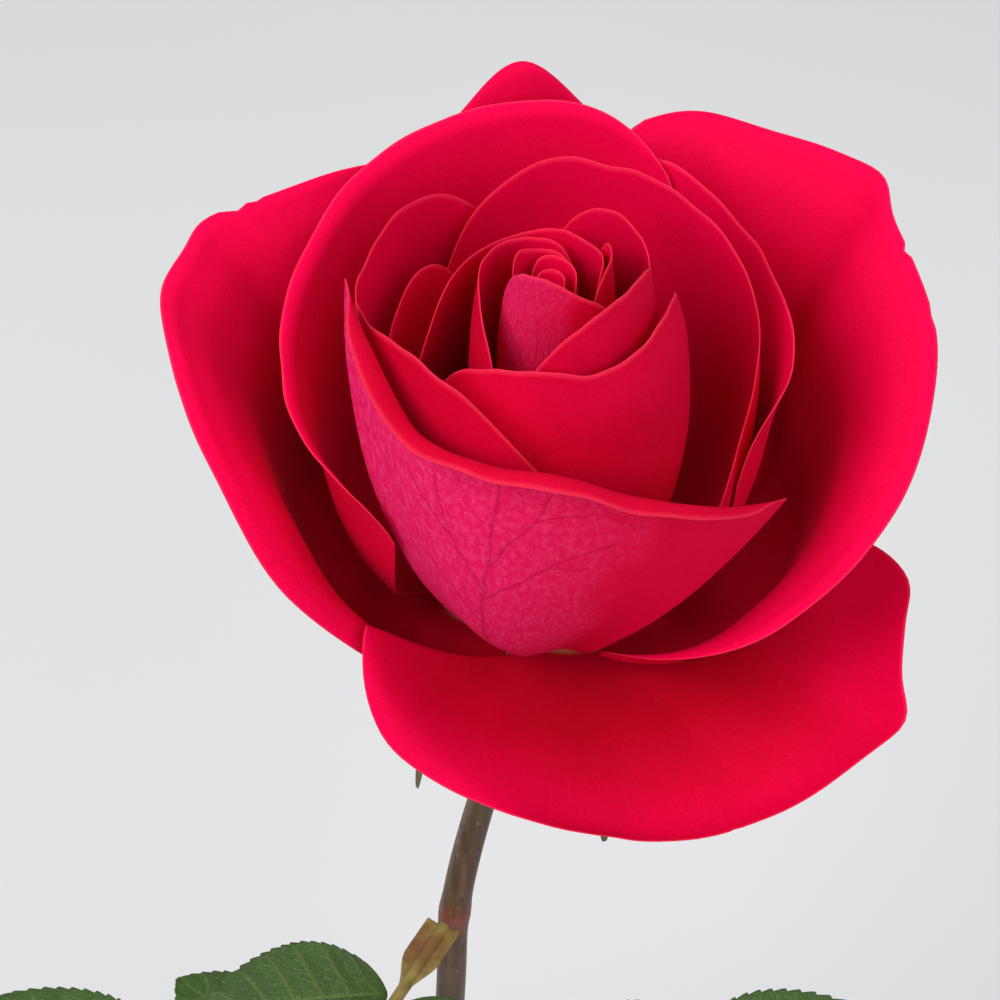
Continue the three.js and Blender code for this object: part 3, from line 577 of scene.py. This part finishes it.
def glaze_finish():
    """White pottery glaze: milky, with faint iron specks and a slow unevenness, bare at the foot."""
    made, tree, shader = material("white_glaze", Roughness=0.16, Specular_IOR_Level=0.5, Coat_Weight=0.35,
                                  Coat_Roughness=0.06)
    place = object_place(tree)
    slow = noise(tree, place, 28.0, 3.0)
    colour = blend_colours(tree, slow, (0.78, 0.765, 0.73), (0.86, 0.855, 0.83))
    specks = node(tree, "ShaderNodeTexVoronoi", {"Vector": place, "Scale": 420.0}).outputs["Distance"]
    choose = noise(tree, place, 260.0, 1.0)
    speck = math_node(tree, "MULTIPLY", ramp(tree, specks, [(0.0, 1), (0.11, 0.7), (0.17, 0)]),
                      ramp(tree, choose, [(0.56, 0), (0.66, 1)]))
    colour = blend_colours(tree, math_node(tree, "MULTIPLY", speck, 0.55), colour, (0.30, 0.22, 0.15))
    height = node(tree, "ShaderNodeSeparateXYZ", {0: place}).outputs[2]
    bare = ramp(tree, math_node(tree, "MULTIPLY", height, 1 / 0.0026),
                [(0.0, 1), (0.55, 1), (0.75, 0)])
    clay = blend_colours(tree, noise(tree, place, 900.0, 3.0), (0.52, 0.43, 0.33), (0.66, 0.57, 0.46))
    colour = blend_colours(tree, bare, colour, clay)
    tree.links.new(colour, shader.inputs["Base Color"])
    tree.links.new(ramp(tree, bare, [(0.0, 0.16), (1.0, 0.85)]), shader.inputs["Roughness"])
    ripple = math_node(tree, "ADD", noise(tree, mapped(tree, place, (1, 1, 5)), 22.0, 2.0),
                       math_node(tree, "MULTIPLY", noise(tree, place, 700.0, 2.0), 0.03))
    bump(tree, shader, ripple, 0.0006, 0.35)
    return made


# ---------- Petals ----------
def seat(layer):
    """Where a petal of a layer grows on the cone: its distance from the axis and its height."""
    share = layer / OUTERMOST_LAYER
    distance = INNER_SEAT_RADIUS + (HIP_RADIUS * 0.92 - INNER_SEAT_RADIUS) * share
    return distance, CONE_HEIGHT * (1 - share) + GAP


def line_share(shape, part, s, u):
    """Share of the rim's distance (part 0) or height (part 1) that a petal has reached at s."""
    share = along(shape["line"][part], s)
    if "end_line" in shape:
        share = share + (along(shape["end_line"][part], s) - share) * smooth(u, 0.4, 1)
    return share


def petal_grid(shape, u, v):
    """Points of a petal's middle surface at shares u across and v along."""
    start, end = shape["span"]
    layers = shape["layer"] if isinstance(shape["layer"], tuple) else (shape["layer"],) * 2
    seat_radius, seat_height = seat(along(layers, u))
    lip_width, lip_turn = shape.get("lip", (0, 0))
    lip_turn = math.radians(lip_turn)
    body = 1 - LIP_SHARE if lip_width > 0 else 1.0
    side = 2 * u - 1
    cut = shape.get("corner", CORNER_ROUNDING) * side ** 8
    for centre, half_width, depth in shape.get("nicks", ()):
        cut = cut + depth * np.maximum(0, 1 - np.abs(u - centre) / half_width) ** 0.8
    sweep = (end - start) * u
    # Two waves that beat against each other and a quicker one, so that no two stretches match
    waver = np.sin(sweep / 6 + start) * np.sin(sweep / 14) + 0.5 * np.sin(sweep / 2.6 + end)
    waver_size = RIM_WAVER * min(1.0, np.mean(shape["out"]) / WAVER_FULL_FROM)
    length = v * (1 - cut - waver_size * (1.5 + waver))
    s = np.minimum(length / body, 1)
    rim_out = along(shape["out"], u) - seat_radius
    for centre, half_width, rise in shape.get("peaks", ()):
        rim_out = rim_out + rise * np.exp(-((u - centre) / half_width) ** 2)
    rim_up = along(shape["up"], u) - seat_height
    spread = along(shape.get("spread", (2.2, 2.2)), u)
    width = CLAW_SHARE + (1 - CLAW_SHARE) * (1 - (1 - s) ** spread)
    azimuth = (start + end) / 2 + (end - start) / 2 * side * width
    distance = seat_radius + rim_out * line_share(shape, 0, s, u)
    sag = along(shape.get("sag", (0, 0)), u)
    height = seat_height + rim_up * line_share(shape, 1, s, u) - sag * np.sin(math.pi * s ** 2)
    if lip_width > 0:
        near = np.full_like(u, 0.999)
        step_out = rim_out * (1 - line_share(shape, 0, near, u))
        step_up = rim_up * (1 - line_share(shape, 1, near, u))
        scale = 1 / np.hypot(step_out, step_up)
        turn = lip_turn * np.maximum(length - body, 0) / LIP_SHARE
        radius = lip_width / lip_turn * (1 - side ** 4)
        forward = radius * np.sin(turn) * scale
        backward = radius * (1 - np.cos(turn)) * scale
        distance = distance + forward * step_out + backward * step_up
        height = height + forward * step_up - backward * step_out
    return around(azimuth, distance, height)


def rim_waves(shape, u, v, index):
    """Small waves at a petal's rim and slow ones in its middle, as a shift along its normal."""
    draw = np.random.default_rng(SEED + index)
    span = (shape["span"][1] - shape["span"][0]) / 180
    waves = np.zeros_like(u)
    for turns, size in ((3.1, 0.5), (6.7, 0.32), (13.0, 0.18)):
        waves = waves + size * np.sin(2 * math.pi * (turns * span * u + draw.random()) + 1.5 * v)
    swells = np.sin(2 * math.pi * (2.3 * span * u + draw.random())) * np.sin(math.pi * v)
    size = min(1.0, np.mean(shape["out"]) / WAVES_FULL_FROM) ** 1.5
    return size * (RIM_WAVE * waves * v ** 6 + SWELL * swells)


def petal(shape, index):
    """One petal as a closed thin body in its place, with extra columns at each nick."""
    across = np.linspace(0, 1, PETAL_COLUMNS + 1)
    for centre, half_width, depth in shape.get("nicks", ()):
        across = np.concatenate([across, centre + half_width * np.linspace(-1.1, 1.1, 9)])
    across = np.unique(np.clip(across, 0, 1).round(5))
    u, v = np.meshgrid(across, np.linspace(0, 1, PETAL_ROWS + 1), indexing="ij")
    grid = petal_grid(shape, u, v)
    normal = unit(np.cross(np.gradient(grid, axis=0), np.gradient(grid, axis=1)))
    grid = grid + normal * rim_waves(shape, u, v, index)[..., None]
    thickness = PETAL_BODY_THICKNESS + (PETAL_RIM_THICKNESS - PETAL_BODY_THICKNESS) * smooth(v, 0.45, 1)
    points, faces, side, uv = shell(grid, thickness, u, v)
    # The first side looks away from the bloom's axis where the grid runs round it
    radial = around(np.degrees(np.arctan2(grid[..., 0], -grid[..., 1])), 1.0, 0.0)
    facing = np.sum(normal * radial)
    if facing < 0:
        side = 1 - side
    faces = facing_out(points, faces)
    points = points + [bloom_x, 0, bloom_z]
    finish = petal_materials[shape.get("outside", "red")]
    return make_mesh(shape["name"] + "_velvet", points, faces, {"outside": side}, uv, finish)


petal_materials = {
    "red": petal_finish("crimson_velvet", "red", 2.0),
    "blush": petal_finish("blush_velvet", "blush", 5.0, CUP_VEINS),
}
for index, shape in enumerate(PETALS):
    piece = petal(shape, index)
    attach(piece, "root")
    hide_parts(shape["name"])


# ---------- Geometry Nodes ----------
def new_tree(name, inputs):
    """A Geometry Nodes tree with geometry in and out and the named inputs given."""
    tree = bpy.data.node_groups.new(name, "GeometryNodeTree")
    tree.interface.new_socket("Geometry", in_out="INPUT", socket_type="NodeSocketGeometry")
    for label, kind in inputs:
        tree.interface.new_socket(label, in_out="INPUT", socket_type=kind)
    tree.interface.new_socket("Geometry", in_out="OUTPUT", socket_type="NodeSocketGeometry")
    return tree, tree.nodes.new("NodeGroupInput"), tree.nodes.new("NodeGroupOutput")


def close_tree(tree, group_in, group_out, geometry):
    """Ends a tree in real geometry with its material set."""
    shaded = node(tree, "GeometryNodeSetShadeSmooth", {"Geometry": geometry, "Shade Smooth": True})
    real = node(tree, "GeometryNodeRealizeInstances", {"Geometry": shaded.outputs[0]})
    painted = node(tree, "GeometryNodeSetMaterial", {"Geometry": real.outputs[0],
                                                     "Material": group_in.outputs["Material"]})
    tree.links.new(painted.outputs[0], group_out.inputs[0])


def sweep_tree():
    """Round rods along edges: each point's own radius, a number of sides, closed ends."""
    tree, group_in, group_out = new_tree("rod_sweep", [("Sides", "NodeSocketInt"),
                                                       ("Material", "NodeSocketMaterial")])
    curve = node(tree, "GeometryNodeMeshToCurve", {"Mesh": group_in.outputs["Geometry"]}).outputs[0]
    section = node(tree, "GeometryNodeCurvePrimitiveCircle", {"Resolution": group_in.outputs["Sides"],
                                                              "Radius": 1.0})
    radius = node(tree, "GeometryNodeInputNamedAttribute", {"Name": "radius"}, data_type="FLOAT").outputs[0]
    rods = node(tree, "GeometryNodeCurveToMesh", {"Curve": curve, "Profile Curve": section.outputs[0],
                                                  "Scale": radius, "Fill Caps": True})
    close_tree(tree, group_in, group_out, rods.outputs[0])
    return tree


def turning_tree():
    """A turned wall: the outline that comes in, as points in the XZ plane, swept about the axis."""
    tree, group_in, group_out = new_tree("turned_wall", [("Steps around", "NodeSocketInt"),
                                                         ("Steps along", "NodeSocketInt"),
                                                         ("Material", "NodeSocketMaterial")])
    outline = node(tree, "GeometryNodeMeshToCurve", {"Mesh": group_in.outputs["Geometry"]}).outputs[0]
    grid = node(tree, "GeometryNodeMeshGrid", {"Size X": 1.0, "Size Y": 1.0,
                                               "Vertices X": group_in.outputs["Steps around"],
                                               "Vertices Y": group_in.outputs["Steps along"]})
    place = node(tree, "ShaderNodeSeparateXYZ", {0: node(tree, "GeometryNodeInputPosition").outputs[0]})
    turn = math_node(tree, "MULTIPLY", place.outputs[0], 2 * math.pi)
    share = math_node(tree, "ADD", place.outputs[1], 0.5)
    sample = node(tree, "GeometryNodeSampleCurve", {"Curves": outline, "Factor": share}, mode="FACTOR")
    turned = node(tree, "ShaderNodeVectorRotate", {"Vector": sample.outputs["Position"], "Angle": turn},
                  rotation_type="Z_AXIS").outputs[0]
    wall = node(tree, "GeometryNodeSetPosition", {"Geometry": grid.outputs[0], "Position": turned})
    closed = node(tree, "GeometryNodeMergeByDistance", {"Geometry": wall.outputs[0], "Distance": 1e-6})
    close_tree(tree, group_in, group_out, closed.outputs[0])
    return tree


def run_tree(source, tree, values, name):
    """Applies a tree to an object and gives back the result as a plain mesh object."""
    modifier = source.modifiers.new("build", "NODES")
    modifier.node_group = tree
    sockets = {item.name: item.identifier for item in tree.interface.items_tree
               if item.item_type == "SOCKET" and item.in_out == "INPUT"}
    for label, value in values.items():
        modifier[sockets[label]] = value
    evaluated = source.evaluated_get(bpy.context.evaluated_depsgraph_get())
    mesh = bpy.data.meshes.new_from_object(evaluated)
    mesh.name = name
    bpy.data.objects.remove(source)
    return to_scene(name, mesh)


def polyline(name, line, radii, **values_by_name):
    """Edges along a line of points in millimetres, with a radius at each point."""
    edges = [(k, k + 1) for k in range(len(line) - 1)]
    mesh = bpy.data.meshes.new(name)
    mesh.from_pydata((line * MM).tolist(), edges, [])
    set_point_values(mesh, {"radius": radii * MM, **values_by_name})
    return to_scene(name, mesh)


rod_sweep = sweep_tree()
turned_wall = turning_tree()


def join(name, objects):
    """One object from several, keeping the first one's place in the list of materials."""
    with bpy.context.temp_override(active_object=objects[0], selected_editable_objects=objects,
                                   object=objects[0], selected_objects=objects):
        bpy.ops.object.join()
    objects[0].name = name
    objects[0].data.name = name
    return objects[0]


def finished(piece, cad_node):
    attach(piece, "root")
    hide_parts(cad_node)


# ---------- Vase ----------
def vase_radius(height):
    """Outer radius of the vase at a height."""
    if height < VASE_BELLY_HEIGHT:
        below = 1 - height / VASE_BELLY_HEIGHT
        return VASE_BELLY_RADIUS + (VASE_FOOT_RADIUS - VASE_BELLY_RADIUS) * below ** 2
    if height < neck_base:
        t = (height - VASE_BELLY_HEIGHT) / (neck_base - VASE_BELLY_HEIGHT)
        return VASE_BELLY_RADIUS + (neck_radius - VASE_BELLY_RADIUS) * t * t * (3 - 2 * t)
    return neck_radius + VASE_FLARE * ((height - neck_base) / VASE_NECK_LENGTH) ** 4


def vase_outline():
    """The wall's outline from the middle of the foot, up the outside, over the lip and down inside."""
    ring = VASE_FOOT_RADIUS - 4.0
    recess = 0.9
    corner = 6.0
    rim = VASE_WALL / 2
    top = VASE_HEIGHT - rim
    outline = [(0, recess), (ring - 2, recess), (ring, 0.3), (ring + 0.7, 0),
               (VASE_FOOT_RADIUS - VASE_FOOT_BEVEL, 0)]
    for height in np.linspace(VASE_FOOT_BEVEL, top, 70):
        outline.append((vase_radius(height), height))
    middle = vase_radius(top) - rim
    for turn in np.linspace(0, math.pi, 14)[1:-1]:
        outline.append((middle + rim * math.cos(turn), top + rim * math.sin(turn)))
    for height in np.linspace(top, VASE_FLOOR + corner, 60):
        outline.append((vase_radius(height) - VASE_WALL, height))
    middle = vase_radius(VASE_FLOOR + corner) - VASE_WALL - corner
    for turn in np.linspace(0, math.pi / 2, 8)[1:]:
        outline.append((middle + corner * math.cos(turn), VASE_FLOOR + corner - corner * math.sin(turn)))
    outline.append((0, VASE_FLOOR))
    return np.array([(x, 0, z) for x, z in outline], float)


outline = vase_outline()
source = polyline("vase_outline", outline, np.ones(len(outline)))
wall_inputs = {"Steps around": 121, "Steps along": 321, "Material": glaze_finish()}
vase_piece = run_tree(source, turned_wall, wall_inputs, "glazed_vase")
finished(vase_piece, "vase")


# ---------- Stem ----------
stem_knots = [(STEM_FOOT_X, 0, VASE_FLOOR + GAP),
              ((STEM_FOOT_X + lean_x) / 2, 0, (VASE_FLOOR + lean_height) / 2),
              (lean_x, 0, lean_height)]
stem_knots += [(bloom_x + sideways, 0, bloom_z + up) for up, sideways in STEM_BENDS]
STEM_FINE = np.stack([along(np.array(stem_knots)[:, k], np.linspace(0, 1, 3000)) for k in range(3)], -1)


def stem_centre(height):
    return on_line(height, STEM_FINE[:, 2], STEM_FINE)


def stem_radius(below):
    """Radius of the stem at a distance below the bloom's base."""
    if below >= HIP_LENGTH:
        t = min((below - HIP_LENGTH) / STEM_TAPER_LENGTH, 1)
        return STEM_NECK_RADIUS + (STEM_RADIUS - STEM_NECK_RADIUS) * t
    hip = float(along([1, 0.99, 0.86, 0.55, 0.2, 0], below / HIP_LENGTH))
    return STEM_NECK_RADIUS + (HIP_RADIUS - STEM_NECK_RADIUS) * hip


NODE_SWELL = 0.245  # how far the stem swells where a leaf grows
bark = bark_finish()
stalk_bark = stalk_finish()

foot_below = bloom_z - (VASE_FLOOR + GAP)
belows = np.concatenate([np.linspace(foot_below, HIP_LENGTH, 150), np.linspace(HIP_LENGTH, 0.9, 40)[1:]])
line = np.array([stem_centre(bloom_z - below) for below in belows])
radii = np.array([stem_radius(below) for below in belows])
tone = np.zeros(len(belows))
for leaf_shape in LEAVES:
    near = np.exp(-((belows - leaf_shape["drop"]) / 3.0) ** 2)
    radii = radii + NODE_SWELL * near
    tone = np.maximum(tone, 0.8 * near)
# The cone that the petals grow on, as (share of the hip's radius, height)
cone = [(0.75, CONE_HEIGHT * 0.2), (0.5, CONE_HEIGHT * 0.4), (0.25, CONE_HEIGHT * 0.66),
        (0.03, CONE_HEIGHT - 0.9)]
base = stem_centre(bloom_z)
line = np.concatenate([line, [[base[0], base[1], bloom_z + up] for _, up in cone]])
radii = np.concatenate([radii, [HIP_RADIUS * share for share, _ in cone]])
tone = np.concatenate([tone, np.zeros(len(cone))])
source = polyline("stem_line", line, radii, tone=tone)
stem_piece = run_tree(source, rod_sweep, {"Sides": 28, "Material": bark}, "woody_stem")


def prickle(below, azimuth):
    """One curved prickle as a closed cone with its root inside the stem."""
    centre = stem_centre(bloom_z - below)
    surface = stem_radius(below)
    hook = PRICKLE_LENGTH * 0.5
    sides = 12
    rings = []
    for share in (-0.2, 0.0, 0.15, 0.32, 0.5, 0.68, 0.84, 0.94):
        reach = max(share, 0.0)
        radius = PRICKLE_ROOT_RADIUS * (1 - reach) ** 1.25 + 0.05
        middle = around(azimuth, surface + share * PRICKLE_LENGTH, -hook * reach ** 2) + centre
        angles = np.linspace(0, 2 * math.pi, sides, endpoint=False)
        across = around(azimuth + 90, 1.0, 0.0)
        ring = middle + np.outer(0.55 * radius * np.cos(angles), across)
        ring[:, 2] += 1.5 * radius * np.sin(angles) * (0.6 + 0.4 * (1 - reach))
        rings.append(ring)
    root = around(azimuth, surface - 1.1, 0) + centre
    tip = around(azimuth, surface + PRICKLE_LENGTH, -hook) + centre
    points = np.concatenate(rings + [[root], [tip]])
    number = np.arange(len(rings) * sides).reshape(len(rings), sides)
    following = np.roll(number, -1, 1)
    faces = np.stack([number[:-1], following[:-1], following[1:], number[1:]], -1).reshape(-1, 4).tolist()
    faces += [(number.size, j, i) for i, j in zip(number[0], following[0])]
    faces += [(number.size + 1, i, j) for i, j in zip(number[-1], following[-1])]
    return make_mesh(f"prickle_{below}", points, faces, {"tone": np.full(len(points), 0.6)}, None, bark)


stem_piece = join("woody_stem", [stem_piece] + [prickle(*spot) for spot in PRICKLES])
finished(stem_piece, "stem")


# ---------- Sepals ----------
sepal_green = leaf_finish("sepal_green", (0.075, 0.105, 0.020), (0.16, 0.17, 0.06), (0.24, 0.10, 0.045))


def sepal(azimuth, droop, index):
    """One drooping sepal: droop holds points of its middle line as (out, up) from its root."""
    draw = np.random.default_rng(SEED + 50 + index)
    root = HIP_RADIUS + GAP + 0.3
    u, v = shares(16, 60)
    out = along([p[0] for p in droop], v)
    up = along([p[1] for p in droop], v)
    half = SEPAL_HALF_WIDTH * (1 - v) ** 0.8 * (0.75 + 0.5 * v) + 0.25
    lobes = 1 + 0.10 * np.sin(2 * math.pi * (5 * v + draw.random())) * smooth(v, 0.2, 0.5)
    side = (2 * u - 1) * half * np.minimum(lobes, 1.0)
    cupped = 0.12 * half * (2 * u - 1) ** 2 + 0.05 * np.cos(2 * math.pi * 3 * v)
    grid = around(azimuth, root + out + cupped, up - 0.08 * HIP_LENGTH)
    grid = grid + side[..., None] * around(azimuth + 90, 1.0, 0.0)
    points, faces, side_of, uv = shell(grid, 0.5 - 0.25 * v, u, v)
    faces = facing_out(points, faces)
    points = points + [bloom_x, 0, bloom_z]
    vein = np.exp(-((uv[:, 0] - 0.5) / 0.08) ** 2)
    attributes = {"outside": 1 - side_of, "vein": vein}
    return make_mesh(f"sepal_{index + 1}_green", points, faces, attributes, uv, sepal_green)


for index, (azimuth, droop) in enumerate(SEPALS):
    finished(sepal(azimuth, droop, index), f"sepal_{index + 1}")


# ---------- Leaves ----------
leaf_green = leaf_finish("leaf_green", (0.040, 0.105, 0.008), (0.13, 0.17, 0.075), (0.14, 0.20, 0.04))

LEAFLET_TEETH = 19
SIDE_VEINS = 7


def leaflet_half_width(v, width):
    outline = np.sin(math.pi * np.clip(v, 0, 1) ** 0.82) ** 0.8
    return np.maximum(width / 2 * outline, 0.4)


def leaflet_surface(u, v, length, width):
    """A leaflet's middle surface, growing from the origin along +X, with saw teeth on its edge."""
    half = leaflet_half_width(v, width)
    across = 2 * u - 1
    teeth = (v * LEAFLET_TEETH) % 1.0
    tooth = 0.022 * width * smooth(v, 0.05, 0.2) * (1 - smooth(v, 0.9, 1.0)) * np.abs(across) ** 10
    side = across * (half - tooth * (1 - teeth))
    forward = tooth * 0.3 * teeth
    fold = LEAFLET_FOLD * np.abs(side) * (1 - np.abs(side) / width)
    vein_phase = v * SIDE_VEINS - 1.1 * np.abs(across)
    quilt = 0.22 * np.sin(2 * math.pi * vein_phase) * np.abs(across) * (1 - np.abs(across) ** 6)
    x = length * v + forward
    z = fold - LEAFLET_DROOP * length * v * v + quilt * smooth(v, 0.02, 0.15)
    return np.stack([x, side, z], -1)


def leaflet_mesh(length, width):
    """A leaflet at the origin: its points, faces, attributes and places on its surface."""
    u, v = shares(40, 150)
    grid = leaflet_surface(u, v, length, width)
    points, faces, side, uv = shell(grid, np.full(u.shape, LEAF_THICKNESS), u, v)
    across = np.abs(2 * uv[:, 0] - 1)
    phase = uv[:, 1] * SIDE_VEINS - 1.1 * across
    side_vein = np.exp(-((phase - np.round(phase - 0.25) - 0.25) / 0.05) ** 2) * (1 - across ** 4)
    midrib = np.exp(-(across / 0.035) ** 2)
    vein = np.clip(np.maximum(side_vein * 0.7, midrib), 0, 1)
    top_side = points[:len(u.ravel()), 2].mean() > points[len(u.ravel()):2 * len(u.ravel()), 2].mean()
    outside = 1 - side if top_side else side
    faces = facing_out(points, faces)
    return points, faces, {"outside": outside, "vein": vein}, uv


def turned(points, degrees, pitch, place):
    """Points pitched about Y, then turned about Z, then moved."""
    x, y, z = points.T
    c, s = math.cos(pitch), math.sin(pitch)
    x, z = c * x + s * z, c * z - s * x
    c, s = math.cos(math.radians(degrees)), math.sin(math.radians(degrees))
    return np.stack([c * x - s * y, s * x + c * y, z], -1) + place


def leaf(shape):
    """One leaf: a stalk with its stipule, two pairs of leaflets and one at the tip."""
    name, length, width = shape["name"], shape["length"], shape["width"]
    knots = np.array([(out, 0, up) for out, up in shape["rise"]], float)
    line, direction, run = curve_points(knots, 90)
    clear = stem_radius(shape["drop"]) + GAP + STALK_RADIUS
    place = around(shape["azimuth"], clear, 0) + stem_centre(bloom_z - shape["drop"])
    turn = shape["azimuth"] - 90

    def set_out(points):
        return turned(points, turn, 0.0, place)

    def add_leaflet(label, scale, degrees, pitch, start):
        points, faces, attributes, uv = leaflet_mesh(length * scale, width * scale)
        points = set_out(turned(points, degrees, pitch, start))
        cad = f"leaf_{name}_leaflet_{label}"
        finished(make_mesh(cad + "_blade", points, faces, attributes, uv, leaf_green), cad)

    share = np.linspace(0, 1, len(line))
    source = polyline("stalk_line", set_out(line), STALK_RADIUS * (1 - 0.35 * share))
    stalk = run_tree(source, rod_sweep, {"Sides": 16, "Material": stalk_bark}, f"leaf_{name}_stalk_round")
    finished(join(f"leaf_{name}_stalk_round", [stalk, stipule(line, run, set_out, name)]),
             f"leaf_{name}_stalk")
    for k, (pair, scale) in enumerate(zip(shape["pairs"], SIDE_LEAFLET_SCALE)):
        at = on_line(pair, share, line)
        for label, side in (("left", 1), ("right", -1)):
            start = at + [0.3, side * (STALK_RADIUS + GAP + 0.5), 0]
            add_leaflet(f"{k + 1}_{label}", scale, side * SIDE_LEAFLET_TURN, -0.1, start)
    heading = direction[-1]
    pitch = -math.atan2(heading[2], heading[0])
    add_leaflet("tip", 1.0, 0.0, pitch, line[-1] + heading * (GAP + 0.1))


def stipule(line, run, set_out, name):
    """The pair of thin wings along a stalk's first part, as one closed strip through the stalk."""
    u, v = shares(24, 40)
    share = v * STIPULE_LENGTH / run
    centre = on_line(share, np.linspace(0, 1, len(line)), line)
    wing = smooth(1 - v, 0, 0.5)
    half = STALK_RADIUS * 0.6 + (STIPULE_HALF_WIDTH - STALK_RADIUS * 0.6) * wing
    across = 2 * u - 1
    grid = centre + np.stack([np.zeros_like(u), across * half, 0.25 * half * across ** 2], -1)
    points, faces, side, uv = shell(grid, np.full(u.shape, STIPULE_THICKNESS), u, v)
    faces = facing_out(points, faces)
    return make_mesh(f"stipule_{name}", set_out(points), faces, {}, uv, stalk_bark)


for shape in LEAVES:
    leaf(shape)


# ---------- Room, lights and camera ----------
FLOOR_SIZE = 6.0
FLOOR_GREYS = ((0.77, 0.77, 0.78), (0.80, 0.80, 0.80))
SKY_COLOUR = (0.93, 0.95, 1.0, 1)
SKY_STRENGTH = 0.36
# Round lamps that point at the bloom: name, place in metres, width in metres, power in watts
LAMPS = [
    ("soft_key", (-0.75, -0.55, 1.35), 0.9, 12),
    ("soft_fill", (0.55, -0.9, 1.15), 1.0, 6.5),
    ("top_glow", (0.1, 0.5, 1.5), 1.0, 6.5),
]
CAMERA_ELEVATION = math.radians(47)
CAMERA_DISTANCE = 0.328
CAMERA_LENS = 85
CAMERA_SENSOR = 36
CAMERA_NEAREST = 0.01


def put_in_scene(name, data, place, direction):
    """A lamp or camera at a place in metres, looking along a direction."""
    made = to_scene(name, data)
    made.location = place
    made.rotation_mode = "QUATERNION"
    made.rotation_quaternion = direction.to_track_quat("-Z", "Y")
    return made


def pale_floor():
    floor_material, tree, shader = material("pale_floor", Roughness=0.9)
    cloudy = noise(tree, object_place(tree), 3.0, 2.0)
    tree.links.new(blend_colours(tree, cloudy, *FLOOR_GREYS), shader.inputs["Base Color"])
    half = FLOOR_SIZE / 2 / MM
    corners = np.array([(-half, -half, 0), (half, -half, 0), (half, half, 0), (-half, half, 0)])
    return make_mesh("floor", corners, np.array([[0, 1, 2, 3]]), {}, None, floor_material)


floor = pale_floor()

lit_place = Vector((bloom_x * MM, 0, (bloom_z + 40) * MM))
for name, place, width, power in LAMPS:
    light = bpy.data.lights.new(name, "AREA")
    light.shape = "DISK"
    light.size = width
    light.energy = power
    put_in_scene(name, light, place, lit_place - Vector(place))

world = bpy.data.worlds.new("studio")
world.use_nodes = True
background = world.node_tree.nodes["Background"]
background.inputs["Color"].default_value = SKY_COLOUR
background.inputs["Strength"].default_value = SKY_STRENGTH
bpy.context.scene.world = world
bpy.context.scene.view_settings.view_transform = "Standard"

target = Vector(((bloom_x - 6.7) * MM, 0, (bloom_z + 22) * MM))
back = Vector((0, -math.cos(CAMERA_ELEVATION), math.sin(CAMERA_ELEVATION)))
camera_data = bpy.data.cameras.new("camera")
camera_data.lens = CAMERA_LENS
camera_data.sensor_width = CAMERA_SENSOR
camera_data.clip_start = CAMERA_NEAREST
bpy.context.scene.camera = put_in_scene("camera", camera_data, target + back * CAMERA_DISTANCE, -back)
